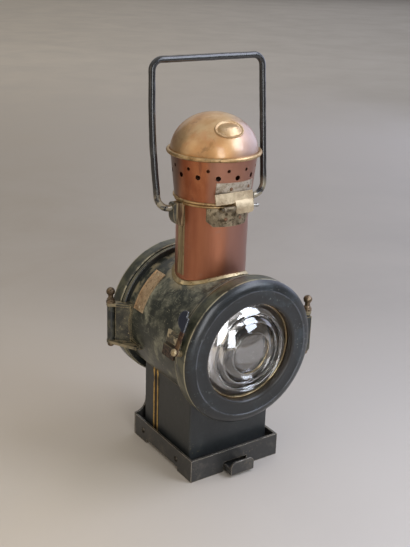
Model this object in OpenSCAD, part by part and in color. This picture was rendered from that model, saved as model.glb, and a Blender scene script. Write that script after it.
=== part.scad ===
// Railway signal lamp with two lens doors, a copper chimney and a carrying bail.
// The origin is on the floor under the middle of the base. +Z is up and the front lens faces -Y.

/* [Base frame] */
// Width of the pedestal box, across the lamp
ped_w = 130; // [116:1:140]
// Depth of the pedestal box, along the barrel
ped_d = 120; // [112:1:126]
// Thickness of the pedestal's sheet
ped_wall = 1.5; // [1:0.1:2.5]
// Outside radius of the pedestal's upright corners
ped_corner = 3; // [2.6:0.2:6]
// Room between the pedestal's sides and the base frame
side_gap = 4.5; // [3.5:0.5:10]
// Room between the pedestal's front and the base frame
front_gap = 14; // [10:0.5:16]
// Thickness of the base frame's steel strip
frame_wall = 3; // [2:0.5:4]
// Height of the base frame
frame_h = 33; // [30:1:42]
// Length of the front and rear feet of the side strips
foot_len = 35; // [20:1:45]
// Height of the cut-out between the feet
foot_cut = 6; // [3:0.5:8]
// Height of the tray floor's underside above the ground
tray_z = 20; // [19:0.5:24]
// Thickness of the tray floor
tray_t = 3; // [2:0.5:4]
// Height of the folded edges under the tray floor
tray_lip = 10; // [8:0.5:13]
// Height of the back plate above the ground
back_h = 62; // [56:1:80]
// Thickness of the back plate
back_t = 3; // [2:0.5:4]
// Radius of the back plate's hollow shoulders
shoulder_r = 18; // [12:1:22]
// Radius of a base rivet's shank
base_rivet_r = 2.2; // [1.5:0.1:3]
// Place of the rear base rivets along the lamp
rivet_rear_y = 51; // [40:1:60]
// Place of the front base rivets along the lamp
rivet_front_y = -38; // [-60:1:-30]

/* [Base latch] */
// Width of the thumb tab
tab_w = 38; // [34:1:46]
// Height of the thumb tab
tab_h = 19; // [16:1:24]
// How far the thumb tab stands in front of the base
tab_reach = 18.5; // [18:0.5:24]
// Radius of the thumb tab's upper corners
tab_corner = 8; // [3:0.5:12]
// Width of the sliding strip
slide_w = 30; // [24:1:31]
// Thickness of the sliding strip and its tab
slide_t = 3; // [2:0.5:4]
// Height of the sliding strip above the ground
slide_z = 3.5; // [3:0.25:6]
// Travel of the sliding strip when it is pushed in
slide_travel = 12; // [6:1:13]
// Length of the strip behind the base frame's front
slide_len = 84; // [70:1:100]

/* [Barrel] */
// Height of the lamp's optical axis above the ground
axis_z = 186; // [182:1:200]
// Outside radius of the barrel
barrel_r = 90; // [86:1:92]
// Thickness of the barrel's sheet
barrel_wall = 1.5; // [1:0.1:2.5]
// Distance from the lamp's middle to each mouth of the barrel
barrel_half = 84; // [82:0.5:85]
// Height of the collar rings above the barrel's skin
ring_rise = 8; // [6:0.5:9]
// Width of a collar ring along the barrel
ring_w = 7; // [6:0.25:8]
// Distance of a collar ring's face behind the barrel's mouth
ring_set = 8; // [7:0.25:10]
// Length of the bare nameplate round the barrel, in degrees
plate_arc = 39; // [30:1:45]
// Angle of the nameplate's lower end above the side
plate_from = 16.5; // [14:0.5:22]
// Width of the nameplate
plate_w = 22; // [16:1:26]
// Thickness of the nameplate
plate_t = 1.2; // [0.8:0.1:2]
// Distance from the barrel's mouth to the nameplate's middle
plate_set = 42; // [38:1:48]

/* [Lens doors] */
// How far a door stands out beyond the collar ring
door_lip = 2; // [1:0.25:3]
// Depth of a door along the barrel
door_deep = 26.5; // [25:0.25:28]
// Thickness of a door's spun metal
door_wall = 3; // [2.4:0.1:3.4]
// Depth of a door's rounded shoulder
door_round = 7.5; // [5:0.25:8]
// Width of a door's rounded shoulder
shoulder_w = 12; // [8:0.5:13]
// Distance from a door's shoulder to the ridge round its throat
ridge_set = 1.5; // [1:0.25:3]
// Radius of the rounded edge where the door's face turns into its throat
lip_round = 3.5; // [2.5:0.25:4]
// How much smaller the lens is than the barrel, in radius
lens_inset = 22; // [20.5:0.5:26]
// Distance of the lens and its rings in front of the door's back
lens_set = 8; // [4:0.5:8]
// Thickness of the lens at its rim
lens_rim = 4; // [3:0.25:4.5]
// Radius of the bull's-eye in the middle of the lens
bull_r = 28.5; // [22:0.5:32]
// Height of the bull's-eye above the lens rim
bull_rise = 13.25; // [8:0.25:14]
// Width of the brass bezel ring in front of the lens
bezel_w = 4; // [3:0.25:5]
// Thickness of the bezel ring
bezel_t = 1.5; // [1:0.1:2]
// Width of the clamping ring behind the lens
clamp_w = 6; // [4:0.5:8]
// Thickness of the clamping ring
clamp_t = 2; // [1:0.25:3]

/* [Door hinges] */
// Distance of a hinge pin outside the door's skirt
hinge_gap = 10; // [9:0.5:14]
// Distance of a hinge pin in front of the door's back edge
hinge_set = 1.5; // [0.5:0.25:2.5]
// Width of the strap that joins the knuckle to the door
strap_reach = 11; // [8:0.5:13]
// Radius of a hinge pin
pin_r = 2.75; // [2:0.25:3]
// Length of the door's hinge knuckle
knuckle_l = 51; // [40:1:60]
// Wall of the hinge knuckle round its pin
knuckle_wall = 2.4; // [2:0.1:3]
// Thickness of the bracket's two arms
arm_t = 4; // [3:0.5:5]
// Wall of the arms' eyes round the pin
eye_wall = 3.2; // [2.5:0.1:4]
// Radius of the ball on top of a hinge pin
ball_r = 6; // [5:0.25:7]
// Height of the hinge pin's neck between the arm and the ball
finial_neck = 11.5; // [8:0.5:13]

/* [Door latches] */
// Angle of the latch's middle above the lamp's side
latch_angle = 20; // [18:0.5:23]
// Height of the latch plate's underside above the door's skirt
latch_rise = 5; // [5:0.25:7]
// Thickness of the latch plate
latch_t = 2; // [1.5:0.25:3]
// Width of the latch strip
strip_w = 8; // [7:0.5:9]
// Distance of the latch's pivot below its middle
latch_low = 18; // [18:0.5:20]
// Distance of the thumb disc's middle above the latch's middle
latch_high = 24; // [20:0.5:28]
// Radius of the half-round thumb disc
thumb_r = 12.5; // [9:0.5:14]
// Radius of the latch's pivot pin
latch_pin_r = 2.5; // [2:0.1:3]
// Angle of the keeper above the lamp's side
keeper_angle = 11; // [10:0.5:12]
// Width of the keeper, up the barrel
keeper_w = 26; // [22:1:28]
// Length of the keeper's pad, along the barrel
keeper_l = 31; // [24:1:36]
// Depth of the keeper's pocket, along the barrel
pocket_d = 26; // [18:1:30]
// Width of the keeper's pocket, up the barrel
pocket_w = 15; // [12:0.5:16]
// How far the keeper's pocket stands out from the barrel
pocket_rise = 9; // [7:0.5:10]
// Thickness of the keeper's sheet
keeper_t = 2.2; // [1.5:0.1:2.4]

/* [Chimney] */
// Outside radius of the chimney tube
tube_r = 47.7; // [44:0.5:50]
// Thickness of the chimney's copper sheet
tube_wall = 1.5; // [1:0.1:2]
// Height of the chimney tube above the barrel's crown
tube_h = 96.9; // [80:1:120]
// Radius of the rolled beads on the tube and the head
bead_r = 1.85; // [1.5:0.05:2]
// Width of the soldered saddle round the tube's foot
saddle_w = 4.3; // [3:0.1:6]
// Thickness of the soldered saddle
saddle_t = 2.2; // [1.5:0.1:3]
// Width of the seam strip up the tube
seam_w = 9.4; // [6:0.2:12]

/* [Chimney head] */
// Height of the pierced drum under the dome
drum_h = 58.6; // [50:0.5:70]
// Outside radius of the drum at its foot
drum_low_r = 50.2; // [49.8:0.2:52]
// Outside radius of the drum at its top
drum_top_r = 56.5; // [53:0.5:60]
// Thickness of the drum's and the dome's sheet
head_wall = 1.2; // [0.8:0.1:1.6]
// Height of the dome above its rim
dome_h = 49.4; // [40:0.5:58]
// Radius of the thick roll round the dome's edge
dome_roll_r = 2.6; // [2:0.1:3]
// Number of vent holes in each of the two rows
vents = 13; // [9:1:15]
// Radius of the vent holes in the upper row
vent_small_r = 2.25; // [1.5:0.25:3]
// Radius of the vent holes in the lower row
vent_large_r = 3.4; // [2:0.2:4]
// Depth of the upper row of vents below the drum's top
vent_small_down = 13; // [9:0.5:15]
// Depth of the lower row of vents below the drum's top
vent_large_down = 22.5; // [20:0.5:25]
// Distance of the head's hinge pin in front of the chimney's axis
head_pin_y = 58; // [57.6:0.2:60]
// Radius of the head's hinge pin
head_pin_r = 2; // [1.5:0.1:2.2]
// Wall of the head hinge's knuckles round the pin
head_knuckle_wall = 1.6; // [1.2:0.1:1.8]

/* [Bail] */
// Radius of the bail's round bar
bail_r = 4.4; // [3.5:0.1:4.8]
// Distance from the bail's pivot to the middle of its grip
bail_h = 185; // [170:1:220]
// Distance of the bail's upright sides from the middle plane
bail_x = 84; // [82:0.5:95]
// Radius of the bail's two upper bends
bail_top_bend = 14; // [8:0.5:24]
// Radius of the bail's two lower bends
bail_low_bend = 18; // [14:0.5:19]
// Distance of the bail's pivot behind the chimney's axis
bail_y = 0; // [0:0.5:9]
// Lean of the standing bail towards the back, in degrees
bail_lean = 5.7; // [0:0.1:7]
// Depth of the bail's pivot below the top of the tube
bail_drop = 7.9; // [7.5:0.1:12]
// Depth of a bail bracket's foot below the bail's pivot
bracket_drop = 25; // [22:1:32]
// How far the bail's brackets stand out from the tube
bracket_reach = 16; // [12:0.5:16.5]
// Thickness of a bail bracket along the barrel
bracket_t = 12; // [10:0.5:13]

/* [Oil font and burner] */
// Width of the oil font
font_w = 108; // [90:1:110]
// Depth of the oil font
font_d = 98; // [80:1:100]
// Height of the oil font
font_h = 92; // [70:1:95]
// Thickness of the font's sheet
font_wall = 1.2; // [0.8:0.1:2]
// Radius of the burner's collar
burner_r = 20; // [17:0.5:22]
// Width of the flat wick
wick_w = 20; // [14:1:22]
// Thickness of the flat wick
wick_t = 2.4; // [1.6:0.2:3]
// Height of the wick tube above the font's lid
wick_tube_h = 54; // [46:1:58]
// Radius of the wick knob
knob_r = 9; // [6:0.5:12]
// Radius of the wick knob's shaft
knob_shaft_r = 1.5; // [1:0.1:2]
// Radius of the font's filler cap
cap_r = 12.5; // [10:0.5:15]

/* [Hidden] */
$fn = 96;

// Clearances: seats that touch, pieces that run on each other, and pieces that pass each other
seat = 0.05;
run = 0.05;
pass = 0.3;
// How far a cutting body runs past the face that it cuts
over = 1;

// Base frame
base_w = ped_w + 2 * (side_gap + frame_wall);
base_d = ped_d + 2 * (front_gap + frame_wall);
tray_top = tray_z + tray_t;
rivet_z = tray_z - 3;
tab_y = base_d / 2 + tab_reach;
gusset_t = 2.5;
gusset_h = 10;
notch_h = slide_z + gusset_h + 1.5;
guide_t = 3;
guide_lip = 0.9;
guide_len = 56;

// Barrel and doors
ring_r = barrel_r + ring_rise;
ring_face = barrel_half - ring_set;
plate_y = barrel_half - plate_set;
door_r = ring_r + door_lip;
door_back = ring_face + 0.5;
door_face = door_back + door_deep;
shoulder_y = door_face - 0.7 - door_round;
ridge_r = door_r - shoulder_w - ridge_set;
lens_r = barrel_r - lens_inset;
throat_r = lens_r + 1;
clamp_back = door_back - 0.2 + lens_set;
clamp_face = clamp_back + clamp_t;
lens_back = clamp_face + seat;
lens_face = lens_back + lens_rim;
bezel_back = lens_face + seat;
bezel_face = bezel_back + bezel_t;
latch_y = door_back + 7.5;
latch_a = door_r + latch_rise;
pivot_boss_r = 4.6;
plate_rivet_r = 1;

// Hinges
hinge_x = door_r + hinge_gap;
hinge_y = door_back + hinge_set;
knuckle_r = pin_r + run + knuckle_wall;
arm_low = axis_z - knuckle_l / 2 - pass;
arm_high = axis_z + knuckle_l / 2 + pass;

// Chimney and head
crown_z = axis_z + barrel_r;
tube_top = crown_z + tube_h;
bead_z = tube_top - bead_r;
head_z = tube_top + pass;
drum_top = head_z + drum_h;
dome_z = drum_top + seat + bead_r;
dome_r = drum_top_r + 0.7;
drum_slope = (drum_top_r - drum_low_r) / drum_h;
head_pin_z = tube_top - 1.4;
head_knuckle_r = head_pin_r + run + head_knuckle_wall;
hinge_half = 21;
hinge_split = -6;
tube_plate_left = 33;
tube_plate_right = 28.5;
drum_plate_left = 27;
drum_plate_right = 29;
plate_low = head_z + 12;
plate_high = head_z + 30.5;
plate_sheet = 1.2;
leaf_low = head_z + 4.3;
leaf_high = head_z + 18;
leaf_t = 1.5;
tube_plate_h = 24;
rivet_up = 10;
plate_rivet_down = 8;
plate_rivet_z = plate_high - plate_rivet_down;
tube_rivets = [-13, 13];
drum_rivets = [-9, 22];
cartouche_w = 40;
cartouche_h = 24;

// Bail
bail_z = tube_top - bail_drop;
bracket_x = tube_r + bracket_reach;
bracket_low = bail_z - bracket_drop;

// Font and burner
font_z = tray_top + seat;
lid_z = font_z + font_h + seat;
lid_t = 2;
neck_r = 9.5;
neck_h = 7;
neck_x = -font_w / 2 + cap_r + 5.5;
neck_y = -font_d / 2 + cap_r + 6.5;
shaft_z = lid_z + lid_t + 13;
shaft_y = 6;
tail_rise = 12;
knob_reach = 26;
gallery_low = 27;
gallery_high = 29;
gallery_top = 40;
baffle_r = 36;

function drum_r(z) = drum_low_r + drum_slope * (z - head_z);
function arc(cx, cy, r, from, to, steps) =
    [for (i = [0:steps]) let (a = from + (to - from) * i / steps) [cx + r * cos(a), cy + r * sin(a)]];

// Turns a front piece half round the lamp's upright axis, to make the rear one
module rear_of() {
    rotate([0, 0, 180]) children();
}

// A cylinder along the barrel, between two distances in front of the lamp's middle
module along_barrel(r, from, to) {
    translate([0, -from, axis_z]) rotate([90, 0, 0]) cylinder(r = r, h = to - from);
}

// A turned profile round the barrel's axis: x is the radius and y the distance to the front
module turned() {
    translate([0, 0, axis_z]) rotate([90, 0, 0]) rotate_extrude() children();
}

// Puts a piece on the lamp's side at an angle above it, with local -X pointing outwards
module on_side(angle) {
    translate([0, 0, axis_z]) rotate([0, angle, 0]) children();
}

module rounded_rect(w, d, r) {
    square([w - 2 * r, d], center = true);
    square([w, d - 2 * r], center = true);
    for (x = [-1, 1], y = [-1, 1])
        translate([x * (w / 2 - r), y * (d / 2 - r)]) circle(r);
}

// A domed rivet with its shank, standing along +Z on its origin
module rivet(head_r, head_h, shank_r, shank_l) {
    dome_curve = (head_r * head_r + head_h * head_h) / (2 * head_h);
    intersection() {
        translate([0, 0, head_h - dome_curve]) sphere(dome_curve);
        cylinder(r = head_r, h = head_h);
    }
    translate([0, 0, -shank_l]) cylinder(r = shank_r, h = shank_l + head_h / 4);
}

// A rivet set square on a round wall about an upright axis, at an angle from the front;
// slope is the wall's lean outwards
module wall_rivet(angle, r, z, head_r, head_h, shank_r, shank_l, slope = 0) {
    rotate([0, 0, angle]) translate([0, -r, z]) rotate([90 + slope, 0, 0])
        rivet(head_r, head_h, shank_r, shank_l);
}

// Base

module base_frame() {
    back = base_d / 2 - back_t - seat;
    color("#2b322f") difference() {
        translate([-base_w / 2, -base_d / 2, 0]) cube([base_w, base_d / 2 + back, frame_h]);
        translate([-base_w / 2 + frame_wall, -base_d / 2 + frame_wall, -over])
            cube([base_w - 2 * frame_wall, base_d, frame_h + 2 * over]);
        translate([-base_w / 2 - over, -base_d / 2 + foot_len, -over])
            cube([base_w + 2 * over, base_d - 2 * foot_len, foot_cut + over]);
        translate([-tab_w / 2 - pass, -base_d / 2 - over, -over])
            cube([tab_w + 2 * pass, frame_wall + 2 * over, notch_h + over]);
        base_rivet_places() cylinder(r = base_rivet_r + seat, h = 4 * frame_wall, center = true);
    }
}

module base_rivet_places() {
    for (side = [-1, 1], y = [rivet_front_y, rivet_rear_y])
        translate([side * base_w / 2, y, rivet_z]) rotate([0, side * 90, 0]) children();
}

module base_rivets() {
    color("#3b4240") base_rivet_places()
        translate([0, 0, seat]) rivet(2 * base_rivet_r, base_rivet_r, base_rivet_r, frame_wall + 2);
}

module back_plate() {
    half = base_w / 2;
    neck = half - shoulder_r;
    top_r = 6;
    outline = concat(
        [[-half, 0], [half, 0], [half, frame_h + 2]],
        arc(half, frame_h + 2 + shoulder_r, shoulder_r, 270, 180, 8),
        arc(neck - top_r, back_h - top_r, top_r, 0, 90, 5),
        arc(-neck + top_r, back_h - top_r, top_r, 90, 180, 5),
        arc(-half, frame_h + 2 + shoulder_r, shoulder_r, 0, -90, 8));
    color("#4a4d45") difference() {
        translate([0, base_d / 2, 0]) rotate([90, 0, 0]) linear_extrude(back_t) polygon(outline);
        translate([-half + foot_len, base_d / 2 - back_t - over, -over])
            cube([base_w - 2 * foot_len, back_t + 2 * over, foot_cut + over]);
    }
}

module tray_floor() {
    w = base_w - 2 * frame_wall - 2 * seat;
    d = base_d - frame_wall - back_t - 2 * seat;
    y0 = -base_d / 2 + frame_wall + seat;
    edge = 2;
    color("#262b2a") difference() {
        union() {
            translate([-w / 2, y0, tray_z]) cube([w, d, tray_t]);
            for (side = [-1, 1])
                translate([side * (w / 2 - edge / 2) - edge / 2, y0 + foot_len, tray_z - tray_lip])
                    cube([edge, d - 1.4 * foot_len, tray_lip + tray_t / 2]);
        }
        base_rivet_places() cylinder(r = base_rivet_r + seat, h = 6 * frame_wall, center = true);
    }
}

module slide_guides() {
    web_x = slide_w / 2 + pass;
    y0 = -base_d / 2 + tab_reach;
    color("#4c4f4b") for (side = [-1, 1]) {
        translate([side * (web_x + guide_t / 2) - guide_t / 2, y0, slide_z - pass - guide_lip])
            cube([guide_t, guide_len, tray_z - seat - slide_z + pass + guide_lip]);
        translate([side * (web_x - guide_t / 2) - guide_t / 2 - over / 2, y0, slide_z - pass - guide_lip])
            cube([guide_t + over, guide_len, guide_lip]);
        translate([side * (web_x - guide_t / 2) - guide_t / 2 - over / 2, y0, slide_z + slide_t + pass])
            cube([guide_t + over, guide_len, guide_lip]);
    }
}

// Sprung strip under the tray, with an upturned thumb tab in front of the base
module base_latch() {
    color("#2f3836") {
        translate([-slide_w / 2, -tab_y + slide_t / 2, slide_z])
            cube([slide_w, tab_reach + slide_len - slide_t / 2, slide_t]);
        translate([0, -tab_y + slide_t, slide_z]) rotate([90, 0, 0]) linear_extrude(slide_t) {
            translate([-tab_w / 2, 0]) square([tab_w, tab_h - tab_corner]);
            translate([-tab_w / 2 + tab_corner, 0]) square([tab_w - 2 * tab_corner, tab_h]);
            for (side = [-1, 1])
                translate([side * (tab_w / 2 - tab_corner), tab_h - tab_corner]) circle(tab_corner);
        }
        for (side = [-1, 1])
            translate([side * (tab_w - gusset_t) / 2 - gusset_t / 2, -tab_y + slide_t / 2, slide_z])
                cube([gusset_t, tab_reach - slide_t, gusset_h]);
        translate([-tab_w / 2, -tab_y + slide_t / 2, slide_z])
            cube([tab_w, tab_reach - slide_t, slide_t]);
    }
}

// Pedestal

module pedestal_box() {
    top = axis_z - barrel_r / 2;
    color("#27302e") difference() {
        translate([0, 0, tray_top + seat]) linear_extrude(top - tray_top) difference() {
            rounded_rect(ped_w, ped_d, ped_corner);
            rounded_rect(ped_w - 2 * ped_wall, ped_d - 2 * ped_wall, ped_corner - ped_wall);
        }
        along_barrel(barrel_r + seat, -ped_d, ped_d);
    }
}

module pedestal_seam() {
    seam_low = tray_top + pass;
    strip_d = 11.5;
    strip_y = 28.5;
    lap = 1.2;
    color("#8c7a4a") difference() {
        translate([-ped_w / 2 - lap - seat, strip_y - strip_d / 2, seam_low])
            cube([lap, strip_d, axis_z - seam_low]);
        along_barrel(barrel_r + seat, -ped_d, ped_d);
        translate([-ped_w / 2 - 2 * lap, strip_y - strip_d / 6, seam_low - over])
            cube([1.5 * lap, strip_d / 3, axis_z]);
    }
}

// Oil font and burner

module font_can() {
    r = 10;
    color("#6f6a52") translate([0, 0, font_z]) difference() {
        linear_extrude(font_h) rounded_rect(font_w, font_d, r);
        translate([0, 0, font_wall])
            linear_extrude(font_h) rounded_rect(font_w - 2 * font_wall, font_d - 2 * font_wall, r - font_wall);
    }
}

module font_lid() {
    color("#8f8253") difference() {
        union() {
            translate([0, 0, lid_z]) linear_extrude(lid_t) rounded_rect(font_w, font_d, 10);
            translate([neck_x, neck_y, lid_z]) cylinder(r = neck_r, h = lid_t + neck_h);
        }
        translate([neck_x, neck_y, lid_z - over]) cylinder(r = neck_r - 2, h = lid_t + neck_h + 2 * over);
        translate([0, 0, lid_z - over]) cylinder(r = wick_w / 2 + 3, h = lid_t + 2 * over);
    }
}

module filler_cap() {
    low = lid_z + lid_t + run;
    top = 2.5;
    ribs = 16;
    color("#b08d45") translate([neck_x, neck_y, low]) difference() {
        cylinder(r = cap_r, h = neck_h + top);
        translate([0, 0, -over]) cylinder(r = neck_r + run, h = neck_h + over + run);
        for (i = [0:ribs - 1])
            rotate([0, 0, i * 360 / ribs]) translate([cap_r + 0.7, 0, -over])
                cylinder(r = 1.3, h = 2 * neck_h + top, $fn = 24);
    }
}

// Burner with its flat wick tube, air gallery and shaft bearing
module burner() {
    low = lid_z + lid_t + seat;
    slot = 0.3;
    color("#b5954c") difference() {
        translate([0, 0, low]) union() {
            rotate_extrude() polygon(concat(
                [[0, 0], [burner_r, 0], [burner_r, 5], [burner_r - 3, 6], [burner_r - 3, 20]],
                [[burner_r + 3, gallery_low], [burner_r + 3, gallery_high]],
                [[burner_r - 6, gallery_top], [0, gallery_top]]));
            translate([-wick_w / 2 - 2.5, -wick_t / 2 - 2, 0]) cube([wick_w + 5, wick_t + 4, wick_tube_h]);
        }
        translate([-wick_w / 2 - slot, -wick_t / 2 - slot, low - over])
            cube([wick_w + 2 * slot, wick_t + 2 * slot, wick_tube_h + 2 * over]);
        translate([0, shaft_y, shaft_z]) rotate([0, 90, 0]) cylinder(r = knob_shaft_r + run, h = 3 * burner_r);
    }
}

module wick() {
    tail_z = font_z + tail_rise;
    stand_out = 4;
    color("#d9cfb4") translate([-wick_w / 2, -wick_t / 2, tail_z])
        cube([wick_w, wick_t, lid_z + lid_t + wick_tube_h + stand_out - tail_z]);
}

module wick_knob() {
    shaft_l = burner_r + knob_reach;
    lobes = 14;
    color("#b08d45") translate([2, shaft_y, shaft_z]) rotate([0, 90, 0]) {
        cylinder(r = knob_shaft_r, h = shaft_l);
        translate([0, 0, shaft_l - 4]) difference() {
            cylinder(r = knob_r, h = 4);
            for (i = [0:lobes - 1])
                rotate([0, 0, i * 360 / lobes]) translate([knob_r + 0.6, 0, -over])
                    cylinder(r = 1.4, h = 4 + 2 * over, $fn = 24);
        }
    }
}

// Barrel

module barrel_shell() {
    color("#2f3a31") difference() {
        along_barrel(barrel_r, -barrel_half, barrel_half);
        along_barrel(barrel_r - barrel_wall, -barrel_half - over, barrel_half + over);
        translate([0, 0, axis_z]) cylinder(r = tube_r - tube_wall, h = 2 * barrel_r);
        linear_extrude(axis_z) rounded_rect(font_w + 6, font_d + 6, 10);
    }
}

module collar_ring() {
    bead = 1.9;
    low = ring_face - ring_w;
    color("#232b29") turned() {
        translate([barrel_r + seat, low]) square([ring_rise - bead - seat, ring_w]);
        translate([ring_r - bead, low + bead]) circle(bead, $fn = 48);
        translate([ring_r - bead, ring_face - bead]) circle(bead, $fn = 48);
    }
}

module nameplate() {
    edge = 1.2;
    color("#9c5a3c") difference() {
        translate([0, plate_y + plate_w / 2, axis_z]) rotate([90, 0, 0])
            rotate([0, 0, 180 - plate_from - plate_arc]) rotate_extrude(angle = plate_arc) {
                translate([barrel_r + seat, 0]) square([plate_t, plate_w]);
                translate([barrel_r + seat, 0]) square([plate_t + 0.6, edge]);
            }
        nameplate_rivet_places() cylinder(r = plate_rivet_r + seat, h = 4 * plate_t, center = true);
    }
}

module nameplate_rivet_places() {
    for (a = [plate_from + 3.5, plate_from + plate_arc - 3.5])
        on_side(a) translate([-barrel_r - plate_t - 2 * seat, plate_y, 0]) rotate([0, -90, 0]) children();
}

module nameplate_rivets() {
    color("#c9b28c") nameplate_rivet_places() rivet(2.6, 1.4, plate_rivet_r, 0.8);
}

// Chimney

module chimney_tube() {
    color("#b4633a") difference() {
        translate([0, 0, axis_z]) cylinder(r = tube_r, h = tube_top - axis_z);
        translate([0, 0, axis_z - over]) cylinder(r = tube_r - tube_wall, h = tube_top);
        along_barrel(barrel_r + seat, -2 * tube_r, 2 * tube_r);
    }
}

module chimney_saddle() {
    color("#b39b66") intersection() {
        difference() {
            translate([0, 0, axis_z]) cylinder(r = tube_r + saddle_w, h = 2 * barrel_r);
            cylinder(r = tube_r + seat, h = 4 * barrel_r);
        }
        difference() {
            along_barrel(barrel_r + saddle_t, -2 * tube_r, 2 * tube_r);
            along_barrel(barrel_r + seat, -2 * tube_r - over, 2 * tube_r + over);
        }
    }
}

module tube_bead() {
    color("#bb9a5e") difference() {
        rotate_extrude() translate([tube_r + 0.95, bead_z]) circle(bead_r, $fn = 48);
        cylinder(r = tube_r + seat, h = tube_top + over);
    }
}

module tube_seam() {
    lap = 1.1;
    color("#a3905c") difference() {
        intersection() {
            translate([0, 0, axis_z]) difference() {
                cylinder(r = tube_r + lap, h = bead_z - bead_r - seat - axis_z);
                translate([0, 0, -over]) cylinder(r = tube_r + seat, h = tube_top);
            }
            translate([-2 * tube_r, -seam_w / 2, axis_z]) cube([2 * tube_r, seam_w, tube_top]);
        }
        along_barrel(barrel_r + saddle_t + seat, -2 * tube_r, 2 * tube_r);
        translate([-2 * tube_r, bail_y - bracket_t / 2 - seat, bracket_low - seat])
            cube([2 * tube_r, bracket_t + 2 * seat, tube_top]);
    }
}

module bail_brackets() {
    toe = tube_r - 3;
    round_r = bracket_reach;
    top = bead_z + bead_r - 1.2;
    outline = concat(
        [[toe, bracket_low]],
        arc(bracket_x - round_r, bracket_low + round_r, round_r, 270, 360, 8),
        [[bracket_x, top - 2], [bracket_x - 2, top], [toe, top]]);
    color("#39423c") for (side = [0, 180]) difference() {
        translate([0, bail_y + bracket_t / 2, 0]) rotate([90, 0, 0]) linear_extrude(bracket_t)
            scale([side == 0 ? 1 : -1, 1]) polygon(outline);
        cylinder(r = tube_r + seat, h = tube_top + over);
        translate([0, 0, bead_z - bead_r - seat]) cylinder(r = tube_r + 0.95 + bead_r + seat, h = 3 * bead_r);
        translate([0, bail_y, bail_z]) rotate([0, 90, 0])
            cylinder(r = bail_r + run, h = 4 * tube_r, center = true);
    }
}

module tube_hinge_plate() {
    high = bead_z - bead_r - pass;
    low = high - tube_plate_h;
    cut = 7;
    knuckle_x = -hinge_half - 2;
    color("#a7a08a") difference() {
        union() {
            intersection() {
                translate([0, 0, low]) difference() {
                    cylinder(r = tube_r + seat + plate_sheet, h = high - low);
                    translate([0, 0, -over]) cylinder(r = tube_r + seat, h = high);
                }
                translate([0, -tube_r / 2, 0]) rotate([90, 0, 0]) linear_extrude(tube_r) polygon([
                    [-tube_plate_left, high], [-tube_plate_left, low + cut], [-tube_plate_left + cut, low],
                    [tube_plate_right - cut, low], [tube_plate_right, low + cut], [tube_plate_right, high]]);
            }
            difference() {
                translate([knuckle_x + 2, -head_pin_y, high - 1.8])
                    cube([hinge_split - knuckle_x - 2, head_pin_y, 1.8]);
                cylinder(r = tube_r + seat + plate_sheet / 2, h = tube_top);
            }
            translate([knuckle_x, -head_pin_y, head_pin_z]) rotate([0, 90, 0])
                cylinder(r = head_knuckle_r, h = hinge_split - knuckle_x);
        }
        translate([0, -head_pin_y, head_pin_z]) rotate([0, 90, 0])
            cylinder(r = head_pin_r + run, h = 4 * hinge_half, center = true);
        for (a = tube_rivets)
            rotate([0, 0, a]) translate([0, -tube_r / 2, low + rivet_up]) rotate([90, 0, 0])
                cylinder(r = 1.3 + seat, h = tube_r);
    }
}

module tube_hinge_rivets() {
    color("#b07a4c") for (a = tube_rivets)
        wall_rivet(a, tube_r + 2 * seat + plate_sheet, bead_z - bead_r - pass - tube_plate_h + rivet_up,
            2.6, 1.3, 1.3, plate_sheet);
}

// Bail: one bent bar, made upright about its pivot and then leaned back
module bail() {
    in_x = tube_r + 3.4;
    low_x = bail_x - bail_low_bend;
    color("#2c3331") translate([0, bail_y, bail_z]) rotate([-bail_lean, 0, 0]) {
        for (side = [0, 180]) rotate([0, 0, side]) {
            translate([in_x, 0, 0]) rotate([0, 90, 0]) cylinder(r = bail_r, h = low_x - in_x);
            translate([low_x, 0, bail_low_bend]) rotate([90, 0, 0]) rotate([0, 0, -90])
                rotate_extrude(angle = 90) translate([bail_low_bend, 0]) circle(bail_r, $fn = 48);
            translate([bail_x, 0, bail_low_bend])
                cylinder(r = bail_r, h = bail_h - bail_low_bend - bail_top_bend);
            translate([bail_x - bail_top_bend, 0, bail_h - bail_top_bend]) rotate([90, 0, 0])
                rotate_extrude(angle = 90) translate([bail_top_bend, 0]) circle(bail_r, $fn = 48);
            translate([0, 0, bail_h]) rotate([0, 90, 0]) cylinder(r = bail_r, h = bail_x - bail_top_bend);
        }
    }
}

// Chimney head

module head_drum() {
    small_z = drum_top - vent_small_down;
    large_z = drum_top - vent_large_down;
    step = 360 / vents;
    color("#ad5f3a") difference() {
        rotate_extrude() polygon([
            [drum_low_r - head_wall, head_z], [drum_low_r, head_z],
            [drum_top_r, drum_top], [drum_top_r - head_wall, drum_top]]);
        for (i = [0:vents - 1]) {
            rotate([0, 0, (i + 0.5) * step]) translate([0, -drum_low_r / 2, small_z]) rotate([90, 0, 0])
                cylinder(r = vent_small_r, h = drum_top_r, $fn = 32);
            rotate([0, 0, i * step]) translate([0, -drum_low_r / 2, large_z]) rotate([90, 0, 0])
                cylinder(r = vent_large_r, h = drum_top_r, $fn = 32);
        }
    }
}

module head_bead() {
    z = head_z + bead_r;
    color("#bb9a5e") difference() {
        rotate_extrude() translate([drum_low_r + 0.4, z]) circle(bead_r, $fn = 48);
        translate([0, 0, head_z - over]) cylinder(r = drum_r(head_z + 2 * bead_r) + seat, h = 4 * bead_r);
    }
}

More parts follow.
